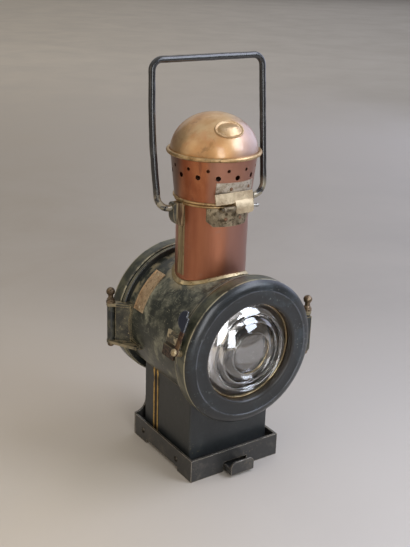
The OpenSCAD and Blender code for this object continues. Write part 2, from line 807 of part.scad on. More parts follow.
// Spun dome with a rolled rim and a bare oval panel
module dome() {
    steps = 14;
    inner_r = dome_r - head_wall;
    inner_h = dome_h - head_wall;
    tilt = 45;
    color("#b0894f") {
        rotate_extrude() union() {
            polygon(concat(
                [for (i = [0:steps]) let (a = 90 * i / steps) [dome_r * cos(a), dome_z + dome_h * sin(a)]],
                [for (i = [steps:-1:0]) let (a = 90 * i / steps)
                    [inner_r * cos(a), dome_z + inner_h * sin(a)]]));
            translate([inner_r, drum_top + seat]) square([head_wall, dome_z - drum_top - seat + 0.2]);
            translate([drum_top_r + seat + dome_roll_r, dome_z]) circle(dome_roll_r, $fn = 48);
        }
        difference() {
            intersection() {
                rotate([0, 0, -8]) translate([0, 0, dome_z]) rotate([tilt, 0, 0]) linear_extrude(2 * dome_r)
                    polygon([for (i = [0:35]) [cartouche_w / 2 * cos(10 * i), cartouche_h / 2 * sin(10 * i)]]);
                rotate_extrude() polygon(concat([[0, dome_z]],
                    [for (i = [0:steps]) let (a = 90 * i / steps)
                        [(dome_r + 1) * cos(a), dome_z + (dome_h + 1) * sin(a)]]));
            }
            rotate_extrude() polygon(concat([[0, dome_z - over]],
                [for (i = [0:steps]) let (a = 90 * i / steps)
                    [(dome_r - head_wall / 2) * cos(a), dome_z + (dome_h - head_wall / 2) * sin(a)]]));
        }
    }
}

module head_hinge_plate() {
    r_low = drum_r(plate_low) + seat;
    r_high = drum_r(plate_high) + seat;
    color("#b7b2a2") difference() {
        intersection() {
            rotate_extrude() polygon([
                [r_low, plate_low], [r_low + plate_sheet, plate_low],
                [r_high + plate_sheet, plate_high], [r_high, plate_high]]);
            translate([-drum_plate_left, -2 * drum_top_r, 0])
                cube([drum_plate_left + drum_plate_right, 2 * drum_top_r, drum_top]);
        }
        for (a = drum_rivets)
            rotate([0, 0, a]) translate([0, -drum_r(plate_rivet_z) - plate_sheet, plate_rivet_z])
                rotate([90 + atan(drum_slope), 0, 0])
                    cylinder(r = 1.3 + seat, h = drum_low_r / 2, center = true);
    }
}

// Brass leaf of the head's hinge: a flat leaf, one knuckle and the tongue that covers it
module head_hinge_leaf() {
    left = -hinge_half - 13;
    right = hinge_half + 2.5;
    top_y = drum_r(leaf_high) + plate_sheet + 3 * seat;
    low_y = head_pin_y - 1.2;
    lean = atan((low_y - top_y) / (leaf_high - leaf_low));
    tongue_l = 6.7;
    front = head_pin_y + head_knuckle_r + 0.6;
    corner = 4;
    gap = 0.5;
    tongue_x = hinge_split + gap;
    tongue_w = hinge_half - tongue_x + 0.5;
    tongue_low = head_pin_z - tongue_l;
    tongue_high = leaf_low + 4;
    color("#c2ab78") difference() {
        union() {
            translate([left, -top_y, leaf_high]) rotate([-lean, 0, 0])
                translate([0, -leaf_t, leaf_low - leaf_high])
                    cube([right - left, leaf_t, leaf_high - leaf_low]);
            translate([tongue_x, -head_pin_y, head_pin_z]) rotate([0, 90, 0])
                cylinder(r = head_knuckle_r, h = tongue_w);
            intersection() {
                translate([tongue_x, 0, 0]) rotate([90, 0, 90]) linear_extrude(tongue_w) polygon([
                    [-low_y + 0.6, tongue_high], [-low_y - leaf_t, tongue_high],
                    [-front, head_pin_z + 2.5], [-front, tongue_low], [-front + leaf_t, tongue_low],
                    [-front + leaf_t, head_pin_z], [-low_y + 0.2, head_pin_z + 3]]);
                translate([tongue_x, 0, 0]) rotate([90, 0, 0]) linear_extrude(2 * front) {
                    translate([0, tongue_low + corner]) square([tongue_w, tongue_high]);
                    translate([corner, tongue_low]) square([tongue_w - 2 * corner, tongue_high]);
                    for (x = [corner, tongue_w - corner])
                        translate([x, tongue_low + corner]) circle(corner, $fn = 48);
                }
            }
        }
        translate([0, -head_pin_y, head_pin_z]) rotate([0, 90, 0])
            cylinder(r = head_pin_r + run, h = 4 * hinge_half, center = true);
    }
}

module head_hinge_rivets() {
    color("#b07a4c") for (a = drum_rivets)
        wall_rivet(a, drum_r(plate_rivet_z) + plate_sheet + 4 * seat, plate_rivet_z,
            2.4, 1.2, 1.3, plate_sheet, atan(drum_slope));
}

// Wind plate inside the drum, held by three arms
module draught_baffle() {
    z = head_z + 15;
    t = 1.2;
    arm = 8;
    reach = drum_r(z) - head_wall - 2 * seat;
    color("#6d4630") translate([0, 0, z]) intersection() {
        union() {
            cylinder(r = baffle_r, h = t);
            for (i = [0:2]) rotate([0, 0, 90 + 120 * i]) translate([0, -arm / 2, 0]) cube([2 * reach, arm, t]);
        }
        cylinder(r = reach, h = t);
    }
}

module head_pin() {
    color("#b9b4a6") translate([-hinge_half - 3, -head_pin_y, head_pin_z]) rotate([0, 90, 0]) {
        cylinder(r = head_pin_r, h = 2 * hinge_half + 13);
        translate([0, 0, 2 * hinge_half + 10]) cylinder(r = head_pin_r + 0.4, h = 3);
    }
}

// Doors

// Points of a door's rounded shoulder from the skirt inwards, grown by a gap
function shoulder(gap, from, to) = [for (i = [0:8]) let (a = from + (to - from) * i / 8)
    [door_r - shoulder_w + (shoulder_w + gap) * cos(a), shoulder_y + (door_round + gap) * sin(a)]];

// The space a door's skirt and shoulder fill, grown by a gap
module door_outline(gap) {
    turned() polygon(concat([[0, door_back - 12], [door_r + gap, door_back - 12]],
        shoulder(gap, 0, 90), [[0, shoulder_y + door_round + gap]]));
}

// Spun door: skirt, rounded shoulder, ridge, flat face, and a throat down to the seat for the lens
module door_rim_front() {
    inner = door_r - door_wall;
    flat_y = door_face - 0.7;
    color("#27332f") turned() polygon(concat(
        [[inner, door_back], [door_r, door_back]],
        shoulder(0, 0, 90),
        [[ridge_r, door_face], [ridge_r - 1.5, flat_y]],
        [for (i = [0:6]) let (a = 90 + 15 * i)
            [throat_r - 2 + lip_round + lip_round * cos(a), flat_y - lip_round + lip_round * sin(a)]],
        [[throat_r - 2, bezel_face + seat], [throat_r, bezel_face + seat], [throat_r, door_back],
            [throat_r + door_wall, door_back], [throat_r + door_wall, flat_y - door_wall - 1],
            [throat_r + door_wall + 1, flat_y - door_wall]],
        shoulder(-door_wall, 90, 0)));
}

// Clear glass stepped lens: a bull's-eye and three steep prism rings, with a flat back
module lens_front() {
    rim = throat_r - bezel_w - seat - pass;
    zone = [bull_r, bull_r + (rim - bull_r) * 0.38, bull_r + (rim - bull_r) * 0.66, rim];
    peak = bull_rise * [0.90, 0.80, 0.64];
    foot = bull_rise * [0.48, 0.34, 0.20, 0.05];
    bow = 0.25;
    steps = 6;
    color([0.85, 0.92, 0.95, 0.45]) turned() polygon(concat(
        [[0, lens_back], [lens_r, lens_back], [lens_r, lens_face], [zone[3], lens_face]],
        [for (k = [2:-1:0]) for (i = [steps:-1:0]) let (s = i / steps)
            [zone[k] + (zone[k + 1] - zone[k]) * s,
                lens_face + peak[k] + (foot[k + 1] - peak[k]) * (s * (1 - bow) + s * s * bow)]],
        [for (i = [steps:-1:0])
            let (s = i / steps) [bull_r * s, lens_face + bull_rise + (foot[0] - bull_rise) * s * s]]));
}

module lens_bezel_front() {
    color("#b8964a") turned() translate([throat_r - seat - bezel_w, bezel_back]) square([bezel_w, bezel_t]);
}

module lens_clamp_front() {
    color("#7d7458") turned() translate([throat_r - seat - clamp_w, clamp_back]) square([clamp_w, clamp_t]);
}

module door_seal_front() {
    low = barrel_half + pass;
    high = door_face - door_wall - 2;
    color("#57503f") turned() translate([barrel_r - 5, low]) square([7, high - low]);
}

// Hinge strap with the knuckle that turns on the hinge pin
module door_strap_front() {
    h = knuckle_l - 2;
    tuck = 7;
    color("#2b3330") difference() {
        translate([hinge_x, -hinge_y, axis_z]) union() {
            cylinder(r = knuckle_r, h = knuckle_l, center = true);
            translate([-hinge_gap - tuck, -strap_reach, -h / 2]) cube([hinge_gap + tuck - 0.2, strap_reach, h]);
        }
        translate([hinge_x, -hinge_y, axis_z - knuckle_l]) cylinder(r = pin_r + run, h = 2 * knuckle_l);
        door_outline(seat);
    }
}

// Bracket with two arms that carries a door's hinge pin; the lower arm reaches further along the barrel
module hinge_bracket_front() {
    pad_to = ring_face - ring_w - 3;
    pad_high = pad_to - 11;
    pad_low = pad_to - 32;
    pad_t = 3;
    foot_h = 8;
    eye_r = pin_r + run + eye_wall;
    skin = sqrt(pow(barrel_r, 2) - pow(knuckle_l / 2 + arm_t, 2));
    arms = [[arm_low - arm_t, pad_low + 2], [arm_high, pad_high + 2]];
    pads = [[arm_low - arm_t, foot_h, pad_low], [arm_low - arm_t, arm_high - arm_low + 2 * arm_t, pad_high]];
    color("#4d4a3b") difference() {
        union() {
            for (pad = pads) intersection() {
                difference() {
                    along_barrel(barrel_r + pad_t, pad[2], pad_to);
                    along_barrel(barrel_r + seat, pad[2] - over, pad_to + over);
                }
                translate([0, -2 * pad_to, pad[0]]) cube([2 * barrel_r, 2 * pad_to, pad[1]]);
            }
            for (arm = arms) translate([0, 0, arm[0]]) linear_extrude(arm_t) {
                translate([hinge_x, -hinge_y]) circle(eye_r);
                polygon([
                    [skin - 3, -arm[1]], [barrel_r + pad_t + 1, -arm[1]],
                    [hinge_x + eye_r - 0.5, -hinge_y + 2.5], [hinge_x, -hinge_y],
                    [hinge_x - 3.6, -hinge_y - 4.7],
                    [skin - 3, -pad_to + 2]]);
            }
            translate([0, 0, arm_low - arm_t / 2]) linear_extrude(arm_high - arm_low + arm_t) polygon([
                [barrel_r + 1, -pad_high - 5], [barrel_r + 1, -pad_high - 1],
                [hinge_x - 3.4, -hinge_y + 6.4], [hinge_x - 5.2, -hinge_y + 4.2]]);
        }
        translate([hinge_x, -hinge_y, axis_z - knuckle_l]) cylinder(r = pin_r + seat, h = 2 * knuckle_l);
        along_barrel(barrel_r + seat, 0, barrel_half);
        along_barrel(door_r + 2 * pass, ring_face - ring_w - pass, door_face + over);
    }
}

module hinge_pin_front() {
    top = arm_high + arm_t + seat;
    low = arm_low - arm_t - seat;
    color("#8a6f45") translate([hinge_x, -hinge_y, 0]) {
        translate([0, 0, low - 5]) cylinder(r = pin_r, h = top - low + 12);
        rotate_extrude() polygon([
            [0, top], [pin_r + 3.6, top], [pin_r + 3.6, top + 2.8], [pin_r + 2.4, top + 3.4],
            [pin_r + 2.4, top + 5.6], [pin_r + 0.8, top + 7], [pin_r + 0.8, top + finial_neck],
            [0, top + finial_neck]]);
        translate([0, 0, top + finial_neck - 1.5 + ball_r]) sphere(ball_r);
        rotate_extrude() polygon([
            [0, low], [pin_r + 2, low], [pin_r + 2, low - 3.5], [pin_r + 0.8, low - 5.2], [0, low - 6]]);
    }
}

// Thumb lever that turns on a pin on the door's skirt
module latch_lever_front() {
    hole_z = -latch_low;
    color("#39434c") on_side(latch_angle) translate([-latch_a, 0, 0]) rotate([0, -90, 0])
        linear_extrude(latch_t) difference() {
            union() {
                translate([hole_z, -latch_y - strip_w / 2]) square([latch_low + latch_high + 5, strip_w]);
                translate([hole_z, -latch_y]) circle(strip_w / 2 + 1);
                intersection() {
                    translate([latch_high, -latch_y + strip_w / 2 - 1]) circle(thumb_r);
                    translate([latch_high - 2 * thumb_r, -latch_y]) square(4 * thumb_r);
                }
            }
            translate([hole_z, -latch_y]) circle(latch_pin_r + run);
        }
}

module latch_pin_front() {
    color("#a98b52") difference() {
        on_side(latch_angle) translate([-latch_a, -latch_y, -latch_low]) rotate([0, -90, 0]) {
            translate([0, 0, -12]) cylinder(r = pivot_boss_r, h = 12 - run);
            translate([0, 0, -over]) cylinder(r = latch_pin_r, h = latch_t + 2 * over);
            translate([0, 0, latch_t + run]) rotate_extrude() polygon([
                [0, 0], [latch_pin_r + 2, 0], [latch_pin_r + 2.4, 1.6], [latch_pin_r + 1.6, 3.4], [0, 4.4]]);
        }
        door_outline(seat);
    }
}

// Bracket on the barrel that the latch closes over, with an open pocket under it
module latch_keeper_front() {
    front_y = ring_face - ring_w - pass;
    rise = door_r + 3 * pass + keeper_t;
    half = keeper_w / 2;
    inner_w = pocket_w - 1.5 * keeper_t;
    post = 6;
    step_z = 4;
    tongue_y = door_back + 8;
    color("#9a9271") difference() {
        on_side(keeper_angle) {
            translate([-barrel_r - keeper_t, -front_y, -half]) cube([4 * keeper_t, keeper_l, keeper_w]);
            translate([-rise, -front_y, step_z]) cube([rise - barrel_r, post, half - step_z + 1]);
            translate([-rise, -tongue_y, step_z]) cube([keeper_t, tongue_y + 2 - front_y, half - step_z + 1]);
            translate([0, 0, -half - post]) difference() {
                translate([-barrel_r - pocket_rise, -front_y, 0])
                    cube([pocket_rise + keeper_t, pocket_d, pocket_w]);
                translate([-barrel_r - pocket_rise + keeper_t * 0.7, -front_y - over, keeper_t * 0.7])
                    cube([2 * pocket_rise, pocket_d, inner_w]);
            }
        }
        along_barrel(barrel_r + seat, 0, barrel_half + over);
    }
}

base_frame();
back_plate();
tray_floor();
base_rivets();
slide_guides();
base_latch();
pedestal_box();
pedestal_seam();
font_can();
font_lid();
filler_cap();
burner();
wick();
wick_knob();
barrel_shell();
collar_ring();  // collar_ring_front
rear_of() collar_ring();  // collar_ring_rear
nameplate();
nameplate_rivets();
chimney_saddle();
chimney_tube();
tube_bead();
tube_seam();
bail_brackets();
tube_hinge_plate();
tube_hinge_rivets();
bail();
head_drum();
head_bead();
dome();
head_hinge_plate();
head_hinge_leaf();
head_hinge_rivets();
draught_baffle();
head_pin();
door_rim_front();
rear_of() door_rim_front();  // door_rim_rear
lens_front();
rear_of() lens_front();  // lens_rear
lens_bezel_front();
rear_of() lens_bezel_front();  // lens_bezel_rear
lens_clamp_front();
rear_of() lens_clamp_front();  // lens_clamp_rear
door_seal_front();
rear_of() door_seal_front();  // door_seal_rear
door_strap_front();
rear_of() door_strap_front();  // door_strap_rear
latch_lever_front();
rear_of() latch_lever_front();  // latch_lever_rear
latch_pin_front();
rear_of() latch_pin_front();  // latch_pin_rear
hinge_bracket_front();
rear_of() hinge_bracket_front();  // hinge_bracket_rear
hinge_pin_front();
rear_of() hinge_pin_front();  // hinge_pin_rear
latch_keeper_front();
rear_of() latch_keeper_front();  // latch_keeper_rear
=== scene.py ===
# %% [markdown]
# # A railway signal lamp, dressed for its portrait
# The lamp is packed from its own solids, and this file gives those solids the skin of the real
# thing: spun and soldered sheet, chipped green paint, aged copper and brass, and clear glass.
# Everything is in metres. The lamp stands on z = 0 with its front lens towards -Y.

import math

import bmesh
import bpy
from mathutils import Matrix, Vector, noise


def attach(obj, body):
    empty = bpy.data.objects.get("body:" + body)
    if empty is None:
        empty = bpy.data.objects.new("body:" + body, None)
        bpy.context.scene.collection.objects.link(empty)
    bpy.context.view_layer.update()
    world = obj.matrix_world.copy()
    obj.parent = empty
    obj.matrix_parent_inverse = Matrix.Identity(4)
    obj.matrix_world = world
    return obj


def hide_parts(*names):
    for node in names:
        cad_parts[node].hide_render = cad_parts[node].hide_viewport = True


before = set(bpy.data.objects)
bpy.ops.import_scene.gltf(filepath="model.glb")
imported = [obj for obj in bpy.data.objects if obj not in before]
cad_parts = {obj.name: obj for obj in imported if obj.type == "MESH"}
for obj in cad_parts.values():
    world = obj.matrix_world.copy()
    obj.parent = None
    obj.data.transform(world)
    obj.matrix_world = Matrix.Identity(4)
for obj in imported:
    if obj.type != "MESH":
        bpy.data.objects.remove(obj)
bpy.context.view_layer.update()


def put(name, data):
    """Stands a camera, a light or a mesh in the scene."""
    made = bpy.data.objects.new(name, data)
    bpy.context.scene.collection.objects.link(made)
    return made


# %% [markdown]
# ## Camera
# The lamp is seen from its front left and a little above it. The lens is 59 mm long on a 36 mm
# long side, which keeps the upright lines of the chimney nearly parallel. A camera could be aimed
# with a constraint, but one held in the hand also rolls, here by two degrees, so its three
# directions are worked out and written into its matrix.

# %% Camera
azimuth, pitch, roll = math.radians(-34.341), math.radians(20.578), math.radians(1.894)
eye = Vector((-0.6504, -0.9404, 0.6927))
ahead = Vector((-math.sin(azimuth) * math.cos(pitch), math.cos(azimuth) * math.cos(pitch),
                -math.sin(pitch)))
right = Vector((math.cos(azimuth), math.sin(azimuth), 0))
up = right.cross(ahead)
right, up = (right * math.cos(roll) + up * math.sin(roll),
             up * math.cos(roll) - right * math.sin(roll))
camera_data = bpy.data.cameras.new("camera")
camera_data.sensor_fit = "AUTO"
camera_data.sensor_width = 36
camera_data.lens = 59.336
camera = put("camera", camera_data)
camera.matrix_world = Matrix((
    (right.x, up.x, -ahead.x, eye.x), (right.y, up.y, -ahead.y, eye.y),
    (right.z, up.z, -ahead.z, eye.z), (0, 0, 0, 1)))
bpy.context.scene.camera = camera
print("camera looks along", tuple(round(v, 3) for v in ahead))

# %% [markdown]
# ## Small helpers for materials
# A finish is a tree of nodes. Short functions keep the trees readable: one adds a node and plugs in
# its inputs, the others mix two colours by a mask, or do one sum. A socket knows its own tree, so
# most of them needn't be told it. Tones are written as the 0 to 255 values a maker would read off
# a colour card, and turned into the linear values that light needs.


# %% Node helpers
def tone(red, green, blue):
    def linear(v):
        v = v / 255
        return v / 12.92 if v <= 0.04045 else ((v + 0.055) / 1.055) ** 2.4
    return (linear(red), linear(green), linear(blue), 1)


def plug(socket, value):
    """Links another node's output into a socket, or sets a plain value on it."""
    if isinstance(value, bpy.types.NodeSocket):
        socket.id_data.links.new(value, socket)
    else:
        socket.default_value = value


def tree_of(*values):
    """The tree that the first socket among these values belongs to."""
    return next(v.id_data for v in values if isinstance(v, bpy.types.NodeSocket))


def add(tree, kind, inputs=None, **settings):
    made = tree.nodes.new(kind)
    for key, value in settings.items():
        setattr(made, key, value)
    for key, value in (inputs or {}).items():
        plug(made.inputs[key], value)
    return made


def blend(mask, first, second, way="MIX"):
    made = add(tree_of(mask, first), "ShaderNodeMix", data_type="RGBA", blend_type=way)
    for index, value in ((0, mask), (6, first), (7, second)):
        plug(made.inputs[index], value)
    return made.outputs[2]


def sums(way, first, second):
    tree = tree_of(first, second)
    return add(tree, "ShaderNodeMath", {0: first, 1: second}, operation=way).outputs[0]


def plus(first, second):
    return sums("ADD", first, second)


def less(first, second):
    return sums("SUBTRACT", first, second)


def times(first, second):
    return sums("MULTIPLY", first, second)


def size_of(value):
    return add(tree_of(value), "ShaderNodeMath", {0: value}, operation="ABSOLUTE").outputs[0]


print("a mid grey card in linear light:", round(tone(128, 128, 128)[0], 3))

# %% [markdown]
# Patterns need to know where on the piece they are. They read Object coordinates, which stay with
# the piece when it swings or slides. A noise read there and spread between two levels is the start
# of nearly every mark on the lamp.


# %% Pattern helpers
def here(tree):
    return add(tree, "ShaderNodeTexCoord").outputs["Object"]


def xyz_of(tree):
    return add(tree, "ShaderNodeSeparateXYZ", {0: here(tree)}).outputs


def cloud_of(place, scale, detail, **more):
    return add(tree_of(place), "ShaderNodeTexNoise", {
        "Vector": place, "Scale": scale, "Detail": detail, **more}).outputs["Fac"]


def along_way(first, second):
    return add(tree_of(first), "ShaderNodeVectorMath", {0: first, 1: second},
               operation="DOT_PRODUCT").outputs["Value"]


def spread(value, low, high, to_low=0.0, to_high=1.0):
    """Turns the range from low to high into the range from to_low to to_high, with soft ends."""
    return add(tree_of(value), "ShaderNodeMapRange", {
        "Value": value, "From Min": low, "From Max": high, "To Min": to_low, "To Max": to_high},
        interpolation_type="SMOOTHSTEP").outputs[0]


def group(name, sockets_in, sockets_out):
    tree = bpy.data.node_groups.new(name, "ShaderNodeTree")
    for title, kind, value in sockets_in:
        socket = tree.interface.new_socket(title, in_out="INPUT", socket_type=kind)
        socket.default_value = value
    for title, kind in sockets_out:
        tree.interface.new_socket(title, in_out="OUTPUT", socket_type=kind)
    inside, outside = tree.nodes.new("NodeGroupInput"), tree.nodes.new("NodeGroupOutput")
    return tree, inside.outputs, outside.inputs


def use(tree, shared, part=0, **inputs):
    made = tree.nodes.new("ShaderNodeGroup")
    made.node_tree = shared
    for key, value in inputs.items():
        plug(made.inputs[key.replace("_", " ")], value)
    return made.outputs[part]


FLOAT, VECTOR = "NodeSocketFloat", "NodeSocketVector"
print("pattern helpers ready")

# %% [markdown]
# ## Shared effects
# Old lamps all age in the same few ways: paint rubs off at edges, hands and weather leave cloudy
# patches, handling leaves fine scratches, and knocks leave chips. Each effect is one node group
# with its own size and amount, so every finish can use it at the right scale.
#
# Edge wear compares the real surface direction with one averaged over a millimetre or two. They
# differ only near an edge. A noise breaks the line up, so the wear isn't a neat outline.

# %% Edge wear
edge_wear, given, out = group("edge_wear", [
    ("Reach", FLOAT, 0.0015), ("Amount", FLOAT, 1.0), ("Grain", FLOAT, 300.0)], [("Mask", FLOAT)])
tree = edge_wear
rounded = add(tree, "ShaderNodeBevel", {"Radius": given["Reach"]}, samples=6).outputs[0]
facing = add(tree, "ShaderNodeNewGeometry").outputs["Normal"]
differ = spread(less(1.0, along_way(rounded, facing)), 0.008, 0.10)
place = here(tree)
crumbs = times(cloud_of(place, given["Grain"], 4.0, Roughness=0.65), 0.55)
patches = times(cloud_of(place, 38.0, 2.0), 0.45)
worn = times(differ, spread(plus(crumbs, patches), 0.38, 0.56))
plug(out["Mask"], times(worn, given["Amount"]))
print("edge wear:", len(tree.nodes), "nodes")

# %% [markdown]
# Mottling is a noise cut between two levels. Stretching its space before the noise turns round
# clouds into streaks or brush marks.

# %% Mottling
mottle, given, out = group("mottle", [
    ("Scale", FLOAT, 30.0), ("Stretch", VECTOR, (1, 1, 1)), ("From", FLOAT, 0.4),
    ("To", FLOAT, 0.6), ("Detail", FLOAT, 5.0), ("Shift", VECTOR, (0, 0, 0))], [("Mask", FLOAT)])
tree = mottle
shifted = add(tree, "ShaderNodeVectorMath", {0: here(tree), 1: given["Shift"]},
              operation="ADD").outputs[0]
pulled = add(tree, "ShaderNodeVectorMath", {0: shifted, 1: given["Stretch"]},
             operation="MULTIPLY").outputs[0]
cloud = cloud_of(pulled, given["Scale"], given["Detail"], Roughness=0.62, Distortion=0.3)
plug(out["Mask"], spread(cloud, given["From"], given["To"]))
print("mottling:", len(tree.nodes), "nodes")

# %% [markdown]
# Scratches are thin bands where a stretched noise passes its middle value. Two directions are
# crossed, and a coarse noise lets them show only here and there.

# %% Scratches
scratches, given, out = group("scratches", [
    ("Scale", FLOAT, 60.0), ("Width", FLOAT, 0.012), ("Amount", FLOAT, 1.0)], [("Mask", FLOAT)])
tree = scratches
place = here(tree)
lines = []
for turn, pull in (((0.3, 0.9, 0.2), (0.12, 1.6, 1.6)), ((1.1, -0.4, 0.8), (1.7, 0.1, 1.5))):
    drawn = add(tree, "ShaderNodeMapping", {
        "Vector": place, "Rotation": turn, "Scale": pull}).outputs[0]
    off = size_of(less(cloud_of(drawn, given["Scale"], 1.0), 0.5))
    lines.append(less(1.0, spread(off, 0.0, given["Width"])))
where = spread(cloud_of(place, 55.0, 3.0), 0.50, 0.62)
found = times(sums("MAXIMUM", *lines), where)
plug(out["Mask"], times(found, given["Amount"]))
print("scratches:", len(tree.nodes), "nodes")

# %% [markdown]
# Chips are small irregular spots: the distance to random points, bent by noise so no spot is
# round, and a coarse noise that gathers them in places that get knocked.

# %% Chips
chips, given, out = group("chips", [
    ("Scale", FLOAT, 220.0), ("Size", FLOAT, 0.22), ("Spread", FLOAT, 0.5)], [("Mask", FLOAT)])
tree = chips
place = here(tree)
wobble = add(tree, "ShaderNodeTexNoise", {
    "Vector": place, "Scale": 260.0, "Detail": 3.0}).outputs["Color"]
pushed = add(tree, "ShaderNodeVectorMath", {0: wobble, 1: (0.006, 0.006, 0.006), 2: place},
             operation="MULTIPLY_ADD").outputs[0]
reach = add(tree, "ShaderNodeTexVoronoi", {
    "Vector": pushed, "Scale": given["Scale"]}).outputs["Distance"]
spots = less(1.0, spread(reach, given["Size"], plus(given["Size"], 0.08)))
where = spread(cloud_of(place, 24.0, 3.0), given["Spread"], plus(given["Spread"], 0.12))
plug(out["Mask"], times(spots, where))
print("shared effects:", ", ".join(g.name for g in bpy.data.node_groups))

# %% [markdown]
# The barrel, its rings and its doors are turned about one axis. Their paint changes with the distance
# from it: a pale painted light inside, paint outside, rubbed brass on a skirt. This group measures
# that distance, and how far a spot is in front of the lamp's middle, whichever end it is at.

# %% Distance from the barrel's axis
AXIS_Z = 0.186
about_barrel, given, out = group("about_barrel", [("Height", FLOAT, AXIS_Z)],
                                 [("Radius", FLOAT), ("Along", FLOAT)])
tree = about_barrel
x, y, z = xyz_of(tree)
rise = less(z, given["Height"])
square = plus(times(x, x), times(rise, rise))
plug(out["Radius"], sums("POWER", square, 0.5))
plug(out["Along"], size_of(y))
print("the barrel's axis is", AXIS_Z, "m above the ground")

# %% [markdown]
# ## A start for each finish
# Every finish starts with the same few nodes, so one function makes the material and hands back
# its tree and its shader. Values that are the same all over the piece are set on the shader itself.
# A second function lifts a height into a bump, which carries only grain finer than the mesh holds.


# %% Finish starter
def finish(name, rough, metallic=0.0, **constants):
    material = bpy.data.materials.new(name)
    material.use_nodes = True
    tree = material.node_tree
    shader = tree.nodes["Principled BSDF"]
    shader.inputs["Roughness"].default_value = rough
    shader.inputs["Metallic"].default_value = metallic
    for key, value in constants.items():
        shader.inputs[key.replace("_", " ")].default_value = value
    return material, tree, shader


def bump(shader, height, depth, strength=1.0):
    made = add(tree_of(height), "ShaderNodeBump", {
        "Height": height, "Distance": depth, "Strength": strength})
    plug(shader.inputs["Normal"], made.outputs[0])


print("finishes so far:", len(bpy.data.materials))

# %% [markdown]
# Some finishes change from place to place on one piece: a bracket's arms are rubbed to metal and
# its pad is still painted. Each could be a material of its own, but then the change would be a hard
# line. So a layer is laid over the finished material by a mask, made from a range of heights or
# distances and broken up by a noise, because wear is never an even line.


# %% Layers over a finish
def zone(value, low, high, soft):
    """A mask that is one between low and high, with soft shoulders outside them."""
    return times(spread(value, low - soft, low), spread(value, high, high + soft, 1.0, 0.0))


def mottled(tree, scale, low, high, **more):
    return use(tree, mottle, Scale=scale, From=low, To=high, **more)


def two_tone(tree, scale, low, high, first, second, **more):
    return blend(mottled(tree, scale, low, high, **more), first, second)


def broken(mask, scale, low, high):
    return times(mask, mottled(tree_of(mask), scale, low, high))


def lay_over(material, mask, colour, metallic=None, rough=None):
    shader = material.node_tree.nodes["Principled BSDF"]
    for title, value in (("Base Color", colour), ("Metallic", metallic), ("Roughness", rough)):
        if value is None:
            continue
        socket = shader.inputs[title]
        below = socket.links[0].from_socket if socket.is_linked else socket.default_value
        if title == "Base Color":
            plug(socket, blend(mask, below, value))
        else:
            kept_below = times(below, less(1.0, mask))
            plug(socket, plus(kept_below, times(mask, value)))


print("layer helpers ready")

# %% [markdown]
# ## Paint
# The lamp was brushed with dark green enamel more than once, over an older pale coat. On the
# barrel the top coat has gone cloudy, and rubs through to a beige layer and then to metal at its
# edges. One function makes each painted finish from its own tones, so the doors, pedestal and base
# stay one family but aren't one flat colour. From the bottom up it lays the base tone, haze,
# scratches, chips, and wear at the edges, as the real coats did.


# %% Paint
def paint(name, *tones, rough=0.42, cloud=(0.50, 0.72), wear=1.0, chip=0.16, gather=0.5,
          grain=26.0, coat=0.25, painted_light_inside=None):
    material, tree, shader = finish(name, rough, 0.0, Coat_Weight=coat, Coat_Roughness=0.22)
    base, cloudy, under, bare = (tone(*card) for card in tones)
    wide = mottled(tree, grain, *cloud)
    fine = mottled(tree, grain * 6, 0.35, 0.7, Detail=6.0)
    haze = times(wide, plus(0.35, times(fine, 0.65)))
    colour = blend(fine, base, tuple(c * 0.78 for c in base[:3]) + (1,))
    colour = blend(haze, colour, cloudy)
    rub = use(tree, scratches, Scale=70.0, Width=0.014, Amount=0.55)
    colour = blend(rub, colour, cloudy)
    spots = use(tree, chips, Scale=230.0, Size=chip, Spread=gather)
    colour = blend(spots, colour, under)
    wide_edge = use(tree, edge_wear, Reach=0.0026, Amount=0.75 * wear, Grain=180.0)
    thin_edge = use(tree, edge_wear, Reach=0.0012, Amount=wear, Grain=420.0)
    colour = blend(wide_edge, colour, under)
    colour = blend(thin_edge, colour, bare)
    metallic = times(thin_edge, 0.85)
    # Inside the barrel: a pale painted light, which brightens what is seen through the lenses.
    if painted_light_inside:
        lit_inside_radius, painted_light_tone = painted_light_inside
        inside = spread(use(tree, about_barrel), lit_inside_radius, lit_inside_radius + 0.0006, 1.0, 0.0)
        colour = blend(inside, colour, tone(*painted_light_tone))
        metallic = times(metallic, less(1.0, inside))
    plug(shader.inputs["Base Color"], colour)
    plug(shader.inputs["Metallic"], metallic)
    dull = plus(rough, times(haze, 0.22))
    plug(shader.inputs["Roughness"], less(dull, times(thin_edge, 0.14)))
    orange_peel = mottled(tree, 420.0, 0.2, 0.8, Detail=3.0)
    brush_marks = mottled(tree, 90.0, 0.3, 0.7, Detail=4.0)
    height = plus(times(orange_peel, 0.25), times(brush_marks, 0.6))
    height = less(height, times(spots, 1.1))
    bump(shader, less(height, times(wide_edge, 0.8)), 0.00012, 0.8)
    return material


def worn_paint(name, base, gather=0.54, chip=0.15):
    return paint(name, base, (98, 94, 74), (150, 136, 104), (188, 170, 128), rough=0.40,
                 cloud=(0.46, 0.64), wear=0.8, chip=chip, gather=gather, grain=50.0)
